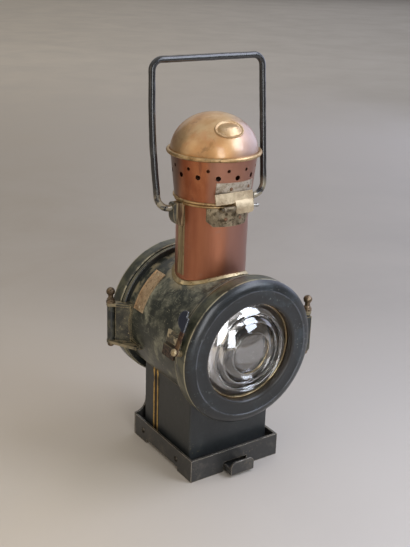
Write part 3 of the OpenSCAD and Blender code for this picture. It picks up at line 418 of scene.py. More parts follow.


# %% Painted finishes
# The barrel's pale inside is painted light.
barrel_green = paint(
    "barrel_green", (42, 47, 40), (150, 150, 130), (134, 130, 110), (170, 158, 126), rough=0.40,
    cloud=(0.45, 0.66), wear=0.9, chip=0.15, grain=34.0, painted_light_inside=(0.0888, (186, 166, 140)))
door_green = paint(
    "door_green", (16, 21, 23), (48, 58, 64), (92, 98, 94), (150, 152, 150), rough=0.34, wear=0.5,
    chip=0.17, coat=0.4)
box_green = paint(
    "box_green", (42, 45, 46), (56, 60, 60), (112, 102, 74), (150, 132, 92), cloud=(0.5, 0.8),
    wear=0.35, chip=0.10, gather=0.58, coat=0.2)
base_black = paint(
    "base_black", (50, 50, 49), (92, 88, 81), (104, 94, 76), (206, 200, 190), wear=1.5, chip=0.15,
    gather=0.49, grain=40.0)
ring_black = paint(
    "ring_black", (26, 29, 28), (60, 62, 54), (104, 100, 82), (150, 144, 124), rough=0.34,
    cloud=(0.52, 0.74), wear=0.4, chip=0.13)
lever_paint = paint(
    "lever_paint", (32, 40, 58), (54, 66, 88), (104, 108, 110), (186, 192, 200), rough=0.30,
    cloud=(0.5, 0.75), wear=1.4, chip=0.10, gather=0.58, coat=0.4)
bail_paint = paint(
    "bail_paint", (28, 28, 29), (60, 60, 58), (96, 92, 82), (150, 146, 134), rough=0.24,
    cloud=(0.56, 0.76), wear=0.4, chip=0.13, gather=0.58, grain=60.0, coat=0.6)
hinge_paint = worn_paint("hinge_paint", (38, 39, 35), gather=0.56, chip=0.14)
keeper_paint = worn_paint("keeper_paint", (72, 68, 54), gather=0.50)
bracket_paint = worn_paint("bracket_paint", (38, 40, 34))
strap_paint = worn_paint("strap_paint", (34, 38, 38))
print("painted finishes:", ", ".join(m.name for m in bpy.data.materials))

# %% [markdown]
# ## Copper, brass and tin
# Bare copper turns brown, then darker in streaks where damp has run down it, and stays bright
# where hands rub it. Brass goes cream and olive, and tinned steel goes brown where the tin is
# thin. Every metal mixes a fresh tone, an aged tone and a dark tarnish, with roughness that rises
# with the tarnish. Some have a pale bloom too. The chimney's streaks run upright, so its noise is
# stretched; the dome's clouds are round.


# %% Metal
def metal(name, *tones, rough, stretch=(1, 1, 1), scale=30.0, tarnish=(0.5, 0.75),
          edge=0.5, pale=None, pale_cut=(0.55, 0.7), grain=260.0, deep=0.00008, metallic=1.0,
          **constants):
    material, tree, shader = finish(name, rough, metallic, **constants)
    fresh, aged, dark = (tone(*card) for card in tones)
    wide = mottled(tree, scale, 0.36, 0.66, Stretch=stretch)
    colour = blend(wide, fresh, aged)
    marks = mottled(tree, scale * 3.1, *tarnish, Stretch=stretch, Shift=(1.3, 0.4, 2.1))
    colour = blend(marks, colour, dark)
    rub = use(tree, scratches, Scale=110.0, Width=0.010, Amount=0.5)
    colour = blend(rub, colour, fresh)
    bright = use(tree, edge_wear, Reach=0.001, Amount=edge, Grain=500.0)
    colour = blend(bright, colour, fresh)
    dull = plus(rough, times(marks, 0.2))
    dull = plus(dull, times(wide, 0.07))
    if pale:
        bloom = mottled(tree, scale * 2.2, *pale_cut, Shift=(0.7, 3.2, 0.2))
        colour = blend(bloom, colour, tone(*pale))
        dull = plus(dull, times(bloom, 0.15))
        plug(shader.inputs["Metallic"], less(metallic, times(bloom, 0.35)))
    plug(shader.inputs["Base Color"], colour)
    plug(shader.inputs["Roughness"], dull)
    fine = mottled(tree, grain, 0.2, 0.8, Stretch=stretch, Detail=4.0)
    bump(shader, less(fine, times(rub, 0.5)), deep, 0.7)
    return material


# %% Copper and the dome's brass
HAZE = dict(Coat_Weight=0.6, Coat_Roughness=0.30, Coat_IOR=1.6)
LACQUER = dict(Coat_Weight=0.6, Coat_Roughness=0.16, Coat_IOR=1.6)
tube_copper = metal(
    "tube_copper", (180, 114, 80), (154, 88, 58), (126, 68, 46), rough=0.42, **HAZE,
    stretch=(1, 1, 0.14), scale=24.0, tarnish=(0.58, 0.9), edge=0.3, pale=(168, 116, 88),
    pale_cut=(0.56, 0.8))
drum_copper = metal(
    "drum_copper", (204, 134, 86), (164, 90, 50), (112, 60, 38), rough=0.42, **HAZE,
    stretch=(1, 1, 0.3), scale=24.0, tarnish=(0.56, 0.80), edge=1.3)
dome_brass = metal(
    "dome_brass", (222, 190, 144), (204, 156, 104), (170, 130, 86), rough=0.46, **LACQUER,
    scale=15.0, tarnish=(0.54, 0.80), edge=0.2, grain=180.0, pale=(206, 154, 104),
    pale_cut=(0.54, 0.76))
plate_copper = metal(
    "plate_copper", (220, 194, 158), (178, 150, 118), (128, 104, 82), rough=0.42, scale=60.0,
    tarnish=(0.50, 0.74), edge=1.2, pale=(178, 154, 126), grain=420.0, deep=0.0004, metallic=0.8)
print("copper finishes:", ", ".join(m.name for m in bpy.data.materials if "copper" in m.name))

# %% Brass, tin, steel and solder
oval_brass = metal(
    "oval_brass", (202, 176, 140), (176, 142, 100), (140, 106, 70), rough=0.44, scale=50.0,
    tarnish=(0.56, 0.80), edge=0.8)
bead_brass = metal(
    "bead_brass", (208, 178, 134), (172, 140, 96), (116, 86, 56), rough=0.38, scale=60.0, edge=0.4,
    pale=(172, 158, 120))
leaf_brass = metal(
    "leaf_brass", (202, 184, 152), (158, 138, 110), (112, 88, 64), rough=0.46, scale=60.0,
    tarnish=(0.58, 0.74), edge=1.0, pale=(166, 150, 124), metallic=0.6)
old_brass = metal(
    "old_brass", (176, 146, 100), (122, 96, 64), (70, 52, 40), rough=0.42, scale=70.0,
    tarnish=(0.46, 0.68), edge=0.9)
pin_brown = metal(
    "pin_brown", (146, 128, 106), (96, 82, 66), (54, 46, 40), rough=0.40, scale=90.0,
    tarnish=(0.48, 0.7), edge=0.6)
pin_cream = metal(
    "pin_cream", (200, 184, 150), (160, 140, 104), (96, 76, 54), rough=0.40, scale=90.0,
    tarnish=(0.52, 0.7), edge=0.6, metallic=0.8)
bezel_brass = metal(
    "bezel_brass", (120, 98, 66), (74, 60, 42), (40, 34, 28), rough=0.42, scale=60.0,
    tarnish=(0.46, 0.7), edge=0.3)
bright_bead = metal(
    "bright_bead", (228, 208, 168), (192, 166, 126), (120, 100, 72), rough=0.26, scale=60.0,
    tarnish=(0.6, 0.8), edge=0.3)
seam_brass = metal(
    "seam_brass", (214, 180, 112), (186, 150, 88), (110, 82, 48), rough=0.36, scale=120.0,
    tarnish=(0.56, 0.72), edge=0.3, metallic=0.9)
tinned = metal(
    "tinned", (206, 198, 184), (164, 152, 134), (118, 98, 78), rough=0.40, scale=110.0,
    tarnish=(0.52, 0.70), edge=0.9, pale=(196, 184, 170), pale_cut=(0.5, 0.62))
tinned_brown = metal(
    "tinned_brown", (168, 154, 128), (116, 104, 84), (86, 74, 58), rough=0.42, scale=60.0,
    tarnish=(0.46, 0.66), edge=1.4, pale=(136, 124, 104), pale_cut=(0.54, 0.64))
tin_can = metal("tin_can", (150, 146, 134), (112, 106, 92), (70, 60, 50), rough=0.42, scale=50.0)
solder = metal(
    "solder", (204, 188, 150), (172, 152, 112), (112, 92, 64), rough=0.40, scale=60.0,
    tarnish=(0.56, 0.74), edge=0.3, pale=(184, 168, 130), metallic=0.85)
wiped_solder = metal(
    "wiped_solder", (186, 172, 138), (148, 130, 98), (86, 66, 46), rough=0.38,
    stretch=(1.6, 1.6, 0.10), scale=110.0, tarnish=(0.50, 0.64), edge=0.2, metallic=0.85)
rusty = metal(
    "rusty", (140, 108, 84), (98, 72, 56), (54, 40, 34), rough=0.5, scale=120.0, metallic=0.6)
steel = metal(
    "steel", (176, 174, 168), (130, 126, 118), (82, 74, 66), rough=0.34, scale=80.0, edge=0.7)
dull_iron = metal(
    "dull_iron", (120, 116, 108), (72, 68, 62), (40, 38, 36), rough=0.46, scale=90.0,
    tarnish=(0.44, 0.66), edge=0.8)
print("finishes so far:", len(bpy.data.materials))

# %% [markdown]
# ## Places that wear in their own way
# The barrel is beige where hands and heat reach it, by the rear ring and at the chimney's foot.
# Both places are found by distance: along the barrel, and from the chimney's middle line.

# %% Beige places on the barrel
CREAM, BEIGE, RUST_AND_SHADE = tone(190, 176, 144), tone(144, 136, 110), tone(42, 33, 28)
tree = barrel_green.node_tree
x, y, z = xyz_of(tree)
by_ring = broken(zone(y, 0.066, 0.10, 0.012), 42.0, 0.48, 0.60)
lay_over(barrel_green, times(by_ring, spread(z, 0.17, 0.21, 0.35, 1.0)), BEIGE)
flat = add(tree, "ShaderNodeCombineXYZ", {0: x, 1: y, 2: 0.0}).outputs[0]
reach = add(tree, "ShaderNodeVectorMath", {0: flat}, operation="LENGTH").outputs["Value"]
by_foot = broken(zone(reach, 0.040, 0.053, 0.010), 60.0, 0.42, 0.56)
lay_over(barrel_green, times(by_foot, spread(z, 0.24, 0.25)), BEIGE)
print("barrel_green has", len(tree.nodes), "nodes")

# %% [markdown]
# A door's skirt rubs down to olive, with a bright line at its hem and another at its shoulder. The
# ridge round its face gets a painted highlight, and the throat behind the face is darkened with
# painted shade. The rings beside the doors have bright beads.

# %% Doors and rings
tree = door_green.node_tree
radius, along = use(tree, about_barrel), use(tree, about_barrel, part=1)
skirt = times(zone(radius, 0.0992, 0.2, 0.0004), zone(along, 0.07, 0.0946, 0.0006))
lay_over(door_green, skirt, two_tone(tree, 60.0, 0.4, 0.62, tone(46, 50, 40), tone(84, 84, 64)),
         0.0, 0.42)
hem = plus(zone(along, 0.07, 0.0774, 0.0004), zone(along, 0.0942, 0.0956, 0.0005))
bright_lines = times(hem, zone(radius, 0.0975, 0.2, 0.0006))
lay_over(door_green, broken(bright_lines, 60.0, 0.34, 0.5), tone(172, 166, 140), 0.5, 0.36)
front = zone(along, 0.1018, 0.2, 0.0006)
# A painted highlight on the ridge round the face.
ridge_highlight = times(zone(radius, 0.0858, 0.0872, 0.0005), front)
lay_over(door_green, broken(ridge_highlight, 50.0, 0.40, 0.56), tone(78, 82, 88), 0.2, 0.26)
# Painted shade in the throat, down to the bezel.
lay_over(door_green, zone(radius, 0.060, 0.0706, 0.0006), tone(24, 23, 20))
lay_over(door_green, zone(radius, 0.060, 0.0672, 0.0004), tone(44, 38, 30))

tree = ring_black.node_tree
beads = spread(use(tree, about_barrel), 0.0974, 0.0979)
lay_over(ring_black, broken(beads, 50.0, 0.34, 0.52), tone(132, 130, 112), 0.5, 0.36)
print("doors and rings worn")

# %% [markdown]
# The copper and brass carry painted light in their colour. The lamp's front right side is painted
# mauve on the drum, the tube and the dome alike, a painted reflection of the cool light there. The
# rear left edges of the drum and the dome are painted brown, a painted shade, and the tube gets a
# warm painted reflection across its middle and right. So each metal gets two soft bands across the
# lamp, from one side to the other, each with its own reach and tone.

# %% Painted reflection and shade on the sides of the copper
RIGHTWARD = (0.83, -0.56, 0.0)
# First band: a painted reflection on the right. Second band: painted shade at the left edge, and on
# the tube a warm painted reflection.
for copper, bands in (
        (drum_copper, ((-0.012, -0.002, 0.0, 0.8, tone(152, 106, 88)),
                       (-0.048, -0.036, 0.85, 0.0, tone(84, 56, 44)))),
        (tube_copper, ((0.012, 0.026, 0.0, 0.75, tone(168, 130, 120)),
                       (-0.020, 0.006, 0.0, 0.4, tone(140, 84, 58)))),
        (dome_brass, ((0.014, 0.044, 0.0, 0.8, tone(184, 160, 154)),
                      (-0.058, -0.036, 0.6, 0.0, tone(150, 108, 70))))):
    tree = copper.node_tree
    across = along_way(here(tree), RIGHTWARD)
    for low, high, to_low, to_high, shade in bands:
        lay_over(copper, spread(across, low, high, to_low, to_high), shade)
    print(copper.name, "aged in", len(bands), "bands")

# %% [markdown]
# The small ironwork wears by height. A hinge bracket's two arms are bare, a keeper is cream on top
# and below it rust darkened with painted shade where its pocket opens, and the thumb lever's shank is
# brown below its painted disc. The bail's ends are rubbed by its brackets, which are smeared with
# solder towards the tube.

# %% Brackets, keepers, levers and bail
tree = hinge_paint.node_tree
arms = spread(size_of(less(xyz_of(tree)[2], AXIS_Z)), 0.0248, 0.0256)
lay_over(hinge_paint, broken(arms, 60.0, 0.42, 0.56), tone(150, 138, 110), 0.4, 0.45)

tree = keeper_paint.node_tree
z = xyz_of(tree)[2]
lay_over(keeper_paint, broken(spread(z, 0.205, 0.2075), 90.0, 0.46, 0.56), CREAM, 0.3, 0.42)
# Below the keeper's top: rust, darkened with painted shade where its pocket opens.
lay_over(keeper_paint, spread(z, 0.199, 0.2015, 1.0, 0.0),
         two_tone(tree, 300.0, 0.45, 0.6, RUST_AND_SHADE, tone(84, 66, 50)), 0.2, 0.6)

tree = lever_paint.node_tree
lay_over(lever_paint, spread(xyz_of(tree)[2], 0.2305, 0.2325, 1.0, 0.0),
         two_tone(tree, 160.0, 0.42, 0.58, tone(122, 94, 64), tone(70, 46, 36)), 0.6, 0.42)

tree = bracket_paint.node_tree
wiped = spread(size_of(xyz_of(tree)[0]), 0.0580, 0.0605, 1.0, 0.0)
lay_over(bracket_paint, wiped, two_tone(tree, 110.0, 0.46, 0.6, tone(176, 160, 124),
                                        tone(92, 72, 50), Stretch=(1.6, 1.6, 0.12)), 0.8, 0.4)

tree = bail_paint.node_tree
ends = broken(spread(xyz_of(tree)[2], 0.372, 0.395, 1.0, 0.0), 90.0, 0.40, 0.52)
lay_over(bail_paint, ends, tone(152, 142, 120), 0.5, 0.4)
print("ironwork worn")

# %% [markdown]
# The pedestal's seam shows as two gold lines, because solder stands up along both of its edges.
# Between and beside them it is dark, so two dark layers leave only the lines.

# %% Dark parts of the pedestal's seam
SEAM_Y = 0.0285
tree = seam_brass.node_tree
from_seam = size_of(less(xyz_of(tree)[1], SEAM_Y))
lay_over(seam_brass, zone(from_seam, -1.0, 0.0026, 0.0014), tone(44, 34, 24), 0.3, 0.5)
lay_over(seam_brass, spread(from_seam, 0.0058, 0.0066), tone(52, 48, 38), 0.2, 0.5)
print("worn places laid over the finishes")

# %% [markdown]
# ## Glass, wick and packing
# Glass has no pattern of its own: it needs a smooth surface, the bending of light and a faint tint
# at most. A thick old lens shows its windows strongly, so it bends light a little more than window
# glass does and has a bright coat. The wick is woven cotton with a charred tip. The door packing
# is soft felt.

# %% Glass, wick and packing
clear_glass, tree, shader = finish("clear_glass", 0.0, 0.0, Transmission_Weight=1.0, IOR=1.7,
                                   Coat_Weight=1.0, Coat_IOR=2.0, Coat_Roughness=0.0)
shader.inputs["Base Color"].default_value = (0.98, 0.975, 0.96, 1)

wick_cotton, tree, shader = finish("wick_cotton", 0.9)
weave = add(tree, "ShaderNodeTexWave", {"Vector": here(tree), "Scale": 420.0, "Distortion": 1.5},
            bands_direction="DIAGONAL").outputs["Fac"]
charred = spread(xyz_of(tree)[2], 0.1705, 0.1735)
cotton = blend(weave, tone(196, 184, 150), tone(226, 216, 186))
plug(shader.inputs["Base Color"], blend(charred, cotton, tone(34, 28, 24)))
bump(shader, weave, 0.0003)

felt, tree, shader = finish("felt", 0.95, 0.0, Sheen_Weight=0.3)
tufts = mottled(tree, 500.0, 0.3, 0.7, Detail=6.0)
plug(shader.inputs["Base Color"], blend(tufts, tone(70, 62, 48), tone(104, 94, 74)))
bump(shader, tufts, 0.0004)
print("finishes in all:", len(bpy.data.materials))

# %% [markdown]
# ## Small helpers for shapes
# A turned piece starts from its section, drawn as a closed chain of points and spun round an axis.
# A metal spinner works from such a section too. Sections are in millimetres: (radius, height) for
# the chimney, and (radius, distance from the lamp's middle) for the barrel.

# %% Spinning a section
MM = 0.001
BARREL_R, BARREL_HALF = 90, 84


def arc(cx, cy, r, start, end, steps):
    turns = [math.radians(start + (end - start) * i / steps) for i in range(steps + 1)]
    return [(cx + r * math.cos(t), cy + r * math.sin(t)) for t in turns]


def chain(bm, points):
    verts = [bm.verts.new(p) for p in points]
    return verts + [bm.edges.new(pair) for pair in zip(verts, verts[1:] + verts[:1])]


def outward(bm):
    """Turns every face's front to the outside."""
    bmesh.ops.recalc_face_normals(bm, faces=bm.faces)


def merge(bm, reach=1e-6):
    bmesh.ops.remove_doubles(bm, verts=bm.verts, dist=reach)


def only(kind, geometry):
    return [g for g in geometry if isinstance(g, kind)]


def as_object(name, bm):
    """Writes the shape into a mesh, lets it go, and stands the mesh in the scene."""
    mesh = bpy.data.meshes.new(name)
    bm.to_mesh(mesh)
    bm.free()
    return put(name, mesh)


def turned(section, steps, upright=True, rear=False):
    """Spins a section about the chimney's upright axis or about the barrel's level one."""
    bm = bmesh.new()
    if upright:
        points, axis, centre = [(r * MM, 0, h * MM) for r, h in section], (0, 0, 1), (0, 0, 0)
    else:
        way = 1 if rear else -1
        points = [(r * MM, way * h * MM, AXIS_Z) for r, h in section]
        axis, centre = (0, 1, 0), (0, 0, AXIS_Z)
    bmesh.ops.spin(bm, geom=chain(bm, points), cent=centre, axis=axis, dvec=(0, 0, 0),
                   angle=math.tau, steps=steps, use_merge=True, use_duplicate=False)
    merge(bm)
    outward(bm)
    return bm


def tube_section(outer, inner, low, high, bands):
    """A tube's wall, with many bands along it so that dents can be knocked into it."""
    section = [(outer, low + (high - low) * i / bands) for i in range(bands + 1)]
    return section + [(inner, high - (high - low) * i / bands) for i in range(bands + 1)]


print("barrel across, in millimetres:", 2 * BARREL_R)

# %% [markdown]
# A piece cut by another uses a difference on a throwaway copy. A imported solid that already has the
# right form is copied, merged and given small rounded edges, because no sheet metal has a
# perfectly sharp edge, and the light finds the rounding. Old sheet is never quite true either, so
# points are moved a little along their normals by a smooth noise with a fixed seed.

# %% Cutting, rounding and knocking
FLAT, SHARP = math.radians(0.5), math.radians(32)


def minus(bm, *cutters):
    """Cuts other closed shapes out of this one."""
    body = as_object("cut", bm)
    tools = [as_object("cut", cutter) for cutter in cutters]
    for tool in tools:
        step = body.modifiers.new("cut", "BOOLEAN")
        step.operation, step.solver, step.object = "DIFFERENCE", "EXACT", tool
    seen = body.evaluated_get(bpy.context.evaluated_depsgraph_get())
    left = bmesh.new()
    left.from_mesh(seen.to_mesh())
    for thing_made in [body] + tools:
        mesh = thing_made.data
        bpy.data.objects.remove(thing_made)
        bpy.data.meshes.remove(mesh)
    merge(left)
    return left


def copy_of(node):
    bm = bmesh.new()
    bm.from_mesh(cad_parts[node].data)
    merge(bm, 2e-6)
    bmesh.ops.dissolve_limit(bm, angle_limit=FLAT, use_dissolve_boundaries=False,
                             verts=bm.verts, edges=bm.edges, delimit=set())
    return bm


def soften(bm, size):
    sharp = [e for e in bm.edges if len(e.link_faces) == 2 and e.calc_face_angle(0) > SHARP]
    bmesh.ops.bevel(bm, geom=sharp, offset=size * MM, offset_type="OFFSET", affect="EDGES",
                    segments=2, profile=0.5, material=-1, clamp_overlap=True)
    return bm


def knocked(bm, depth, size, lift=0.0, seed=0, where=None):
    """Moves every point a little along its normal, as sheet does after years of knocks."""
    bm.normal_update()
    shift = Vector((seed * 1.7, seed * 0.9, seed * 2.3))
    moves = [(v, v.normal * (noise.noise(v.co / size + shift) * depth + lift)) for v in bm.verts
             if where is None or where(v.co)]
    for v, move in moves:
        v.co += move
    return bm


print("shape helpers ready")

# %% [markdown]
# A finished piece rides on the body that carries it, and stands for the imported solids that it
# covers.


def show(name, bm, material, body, slot, *nodes, even=True):
    for face in bm.faces:
        face.smooth = True
    made = as_object(name, bm)
    made.data.materials.append(material)
    if even:
        made.modifiers.new("even_shading", "WEIGHTED_NORMAL").keep_sharp = True
    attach(made, body)
    if nodes:
        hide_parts(*nodes)
    print(f"{name}: {len(made.data.polygons)} faces on {body}")
    return made


# %% [markdown]
# ## The barrel
# The barrel is one rolled sheet, 180 mm across. The chimney and the font pass through it, so two
# openings are cut in it. It is spun with many bands along its length, and the bands are knocked
# slightly out of true, so the paint's gloss wanders over it as it does on old sheet. Its two ends
# stay true, because the collar rings sit on them.

# %% Barrel shell
TUBE_R, TUBE_IN = 47.7, 46.2
barrel = turned(tube_section(BARREL_R, 88.5, -BARREL_HALF, BARREL_HALF, 44), steps=160,
                upright=False)
knocked(barrel, 0.45 * MM, 0.030, where=lambda p: abs(p.y) < 0.068)
chimney_hole = turned([(0, 200), (TUBE_IN, 200), (TUBE_IN, 300), (0, 300)], steps=96)
font_hole = bmesh.new()
bmesh.ops.create_cube(font_hole, size=1)
bmesh.ops.scale(font_hole, verts=font_hole.verts, vec=(0.114, 0.104, 0.186))
bmesh.ops.translate(font_hole, verts=font_hole.verts, vec=(0, 0, 0.093))
show("barrel_sheet", minus(barrel, chimney_hole, font_hole), barrel_green, "lamp", "green_paint",
     "barrel_shell")

# %% [markdown]
# ## The doors
# Each door is a deep spun ring: a skirt, a broad rounded shoulder, a fine ridge, a slightly hollow
# face, and a rounded edge into the throat that leads back to the glass. The section is drawn once
# and spun at both ends of the barrel. A door has been leaned on and dropped, so its face is
# knocked too, but its skirt keeps true, because it has to close.


# %% Door rims
def door_section():
    skirt, hem, face, shoulder, throat, wall = 100, 76.5, 103.0, 94.8, 67, 3
    bend, bend_x, bend_y = skirt - 12, 12, 7.5
    points = [(skirt - wall, hem), (skirt, hem), (skirt, 83), (skirt, 89), (skirt, shoulder - 0.4)]
    points += [(bend + bend_x * math.cos(t) ** 1.25, shoulder + bend_y * math.sin(t) ** 1.25)
               for t in (math.radians(6 * i) for i in range(1, 15))]
    points += arc(86.6, face - 1.0, 1.0, 80, 150, 5)
    points += [(84.8, 102.25), (82, 102.0), (78, 101.8), (74, 102.0), (72, 102.25)]
    points += arc(70.5, face - 4.2, 3.5, 80, 180, 9)
    points += [(throat, 96.5), (throat, 94), (throat, 91.95), (69, 91.95), (69, hem), (72, hem),
               (72, 98.3), (73, 99.2)]
    points += [(bend + (bend_x - wall) * math.cos(t), shoulder + (bend_y - wall) * math.sin(t))
               for t in (math.radians(90 - 90 * i / 8) for i in range(9))]
    return points


ENDS = (("front", False), ("rear", True))
for end, rear in ENDS:
    rim = turned(door_section(), upright=False, steps=144, rear=rear)
    knocked(rim, 0.35 * MM, 0.026, seed=3 + rear, where=lambda p: abs(p.y) > 0.0985)
    show("door_spinning_" + end, rim, door_green, end + "_door", "green_paint", "door_rim_" + end)

# %% [markdown]
# ## The lenses
# A stepped lens has a bull's-eye in the middle and prism rings round it. Each step is a curved
# face with a short riser behind it. The faces are sampled finely and spun smoothly, because glass
# shows every flat. The steps' crests are slightly rounded, as pressed glass is, and the shading is
# split only at the risers.


# %% Stepped lens
def lens_section():
    back, front, edge, bull, rise, rim = 86.35, 90.35, 68, 28.5, 13.25, 64.65
    rings = [bull, bull + (rim - bull) * 0.38, bull + (rim - bull) * 0.66, rim]
    peaks = [rise * 0.90, rise * 0.80, rise * 0.64]
    feet = [rise * 0.48, rise * 0.34, rise * 0.20, rise * 0.05]
    points = [(0, back), (edge, back), (edge, front), (rim, front)]
    for inner, outer, peak, foot in reversed(list(zip(rings, rings[1:], peaks, feet[1:]))):
        wide, drop, crest = outer - inner, peak - foot, front + peak
        points += [(inner + wide * s, crest - drop * s * (0.75 + 0.25 * s))
                   for s in (1 - i / 14 for i in range(14))]
        points += [(inner + 0.22, crest - 0.10), (inner + 0.06, crest - 0.28), (inner, crest - 0.6)]
    points += [(bull * i / 16, front + rise + (feet[0] - rise) * (i / 16) ** 2)
               for i in range(16, -1, -1)]
    return points


for end, rear in ENDS:
    glass = turned(lens_section(), upright=False, steps=160, rear=rear)
    pane = show("stepped_glass_" + end, glass, clear_glass, end + "_door", "clear_glass",
                "lens_" + end, even=False)
    pane.data.set_sharp_from_angle(angle=math.radians(28))

# %% [markdown]
# The bezel that holds the lens is a flat brass ring, dark all over. Its inner edge is turned over in
# a thin bead, which polishing still reaches, so the two are separate rings here.

# %% Bezel and its bead
BEZEL = [(65.0, 90.4), (68.9, 90.4), (68.9, 91.6), (68.5, 91.85), (66.6, 91.85), (65.8, 91.5)]
for end, rear in ENDS:
    ring = turned(BEZEL, upright=False, steps=144, rear=rear)
    show("bezel_ring_" + end, ring, bezel_brass, end + "_door", "aged_brass", "lens_bezel_" + end)
    bead = turned(arc(65.5, 91.35, 0.5, 0, 330, 11), upright=False, steps=144, rear=rear)
    show("bezel_bead_" + end, bead, bright_bead, end + "_door", "bright_brass")

# %% [markdown]
# ## The chimney tube
# Thin copper rolled into a tube. It is spun with many bands so it can carry shallow dents, which
# keep away from the brackets and plates riveted to it. Then the barrel's round is cut out of its
# foot.


# %% Chimney tube
def barrel_plug():
    """The barrel's round as a solid, a hair bigger than the sheet, to cut what stands on it."""
    reach, radius = 120, BARREL_R + 0.05
    return turned([(0, -reach), (radius, -reach), (radius, reach), (0, reach)], upright=False,
                  steps=160)


def free_of_fittings(p):
    return 0.27 < p.z < 0.34 and not (p.x < -0.040 and abs(p.y) < 0.02)


tube = knocked(turned(tube_section(TUBE_R, TUBE_IN, 186, 372.9, 40), steps=144), 0.30 * MM, 0.022,
               seed=5, where=free_of_fittings)
show("copper_tube", minus(tube, barrel_plug()), tube_copper, "lamp", "copper", "chimney_tube")

# %% [markdown]
# ## Solder
# The joint at the tube's foot was wiped with solder by hand, so it is lumpy. The fillet is spun as
# a plain ring, dropped onto the barrel's round, and swollen by noise. Four bigger lumps are raised
# where the iron was lifted off.


# %% Soldered fillet at the chimney's foot
def barrel_rise(x, radius=BARREL_R * MM):
    """How far the barrel's round stands above its axis, at this distance to the side."""
    return math.sqrt(radius ** 2 - x ** 2)


fillet = turned([(47.75, 0.06), (47.75, 3.6), (48.9, 2.7), (50.2, 1.6), (51.6, 0.9), (52.0, 0.06)],
                steps=220)
for v in fillet.verts:
    v.co.z += AXIS_Z + barrel_rise(v.co.x)
fillet.normal_update()
for v in fillet.verts:
    v.co += v.normal * (noise.noise(v.co * 90) * 0.5 + noise.noise(v.co * 260) * 0.15) * MM
LUMP = 0.006
for x, y, size in ((0.012, -0.0485, 2.4), (0.019, -0.0465, 2.0), (-0.049, -0.006, 1.7),
                   (0.045, 0.02, 1.8)):
    middle = Vector((x, y, AXIS_Z + barrel_rise(x) + 0.0012))
    for v in fillet.verts:
        near = 1 - (v.co - middle).length / LUMP
        if near > 0:
            v.co += Vector((v.co.x, v.co.y, 0)).normalized() * size * MM * 0.6 * near
            v.co.z += size * MM * near ** 2
show("foot_solder", fillet, solder, "lamp", "aged_brass", "chimney_saddle")

# %% [markdown]
# The seams up the tube and the pedestal are long strips of solder with two raised edges. Each
# starts as a flat grid, is swollen by the same kind of noise, and is then bent round the tube or
# stood against the pedestal. Its ends are held clear of the barrel.


# %% Soldered seams
def seam_strip(width, height, rise, lift, wander):
    """A strip in its own plane: x across it, y along it, z out of the wall."""
    bm = bmesh.new()
    bmesh.ops.create_grid(bm, x_segments=18, y_segments=int(height / 1.3), size=0.5)
    bmesh.ops.scale(bm, verts=bm.verts, vec=(width * MM, height * MM, 1))
    for v in bm.verts:
        across, along = v.co.x / (width * MM / 2), v.co.y
        edges = math.exp(-((abs(across) - 0.72) / 0.24) ** 2)
        lumps = 0.75 + 0.5 * noise.noise(Vector((across * 1.2, along * 130, 4.0)))
        fade = min(1.0, (1 - abs(across)) * 9)
        v.co = Vector((v.co.x + wander * MM * noise.noise(Vector((2.0, along * 60, 1.0))), along,
                       (lift + rise * edges * lumps) * fade * MM))
    outward(bm)
    return bm


strip = seam_strip(15.0, 94.0, 0.8, 0.3, 0.8)
for v in strip.verts:
    turn, radius = math.pi + v.co.x / 0.0478, 0.0478 + v.co.z
    v.co = Vector((radius * math.cos(turn), radius * math.sin(turn), 0.3195 + v.co.y))
for v in strip.verts:
    v.co.z = max(v.co.z, AXIS_Z + barrel_rise(v.co.x) + 0.001)
    if v.co.z > 0.3395 and abs(v.co.y) < 0.0062:
        v.co.x = max(v.co.x, -0.04785)
outward(strip)
show("tube_solder", strip, wiped_solder, "lamp", "aged_brass", "tube_seam")

strip = seam_strip(14.0, 118.0, 1.2, 0.25, 3.5)
for v in strip.verts:
    v.co = Vector((-0.06505 - v.co.z, SEAM_Y - v.co.x, 0.0824 + v.co.y))
for v in strip.verts:
    v.co.z = min(v.co.z, AXIS_Z - barrel_rise(v.co.x, 0.0901))
outward(strip)
show("pedestal_solder", strip, seam_brass, "lamp", "aged_brass", "pedestal_seam")

# %% [markdown]
# ## The pedestal
# A folded box of thin sheet, closed by a seam on its left side. It starts as a rounded outline,
# extruded upwards in many steps, and gets its wall by thickening. A cube could give the box, but
# its sides would have no points to move, and thin sheet never stays flat. So the sides are knocked
# in very slightly, except at the corners and the seam.

# %% Pedestal box
PEDESTAL_STEPS, PEDESTAL_TALL = 20, 0.1179
outline = []
for cx, cy, start in ((62, 57, 0), (-62, 57, 90), (-62, -57, 180), (62, -57, 270)):
    outline += arc(cx, cy, 3, start, start + 90, 6)
bm = bmesh.new()
drawn = chain(bm, [(x * MM, y * MM, 0.02305) for x, y in outline])
long_edges = [e for e in only(bmesh.types.BMEdge, drawn) if e.calc_length() > 0.02]
bmesh.ops.subdivide_edges(bm, edges=long_edges, cuts=15, use_grid_fill=False)
ring = bm.edges[:]
for step in range(PEDESTAL_STEPS):
    ring = only(bmesh.types.BMEdge, bmesh.ops.extrude_edge_only(bm, edges=ring)["geom"])
    verts = list({v for e in ring for v in e.verts})
    bmesh.ops.translate(bm, verts=verts, vec=(0, 0, PEDESTAL_TALL / PEDESTAL_STEPS))
outward(bm)
if sum(f.normal.dot(f.calc_center_median() * Vector((1, 1, 0))) for f in bm.faces) < 0:
    bmesh.ops.reverse_faces(bm, faces=bm.faces)


def off_corners_and_seam(p):
    at_seam = p.x < 0 and abs(p.y - SEAM_Y) < 0.012
    return (abs(p.x) < 0.058 or abs(p.y) < 0.053) and not at_seam


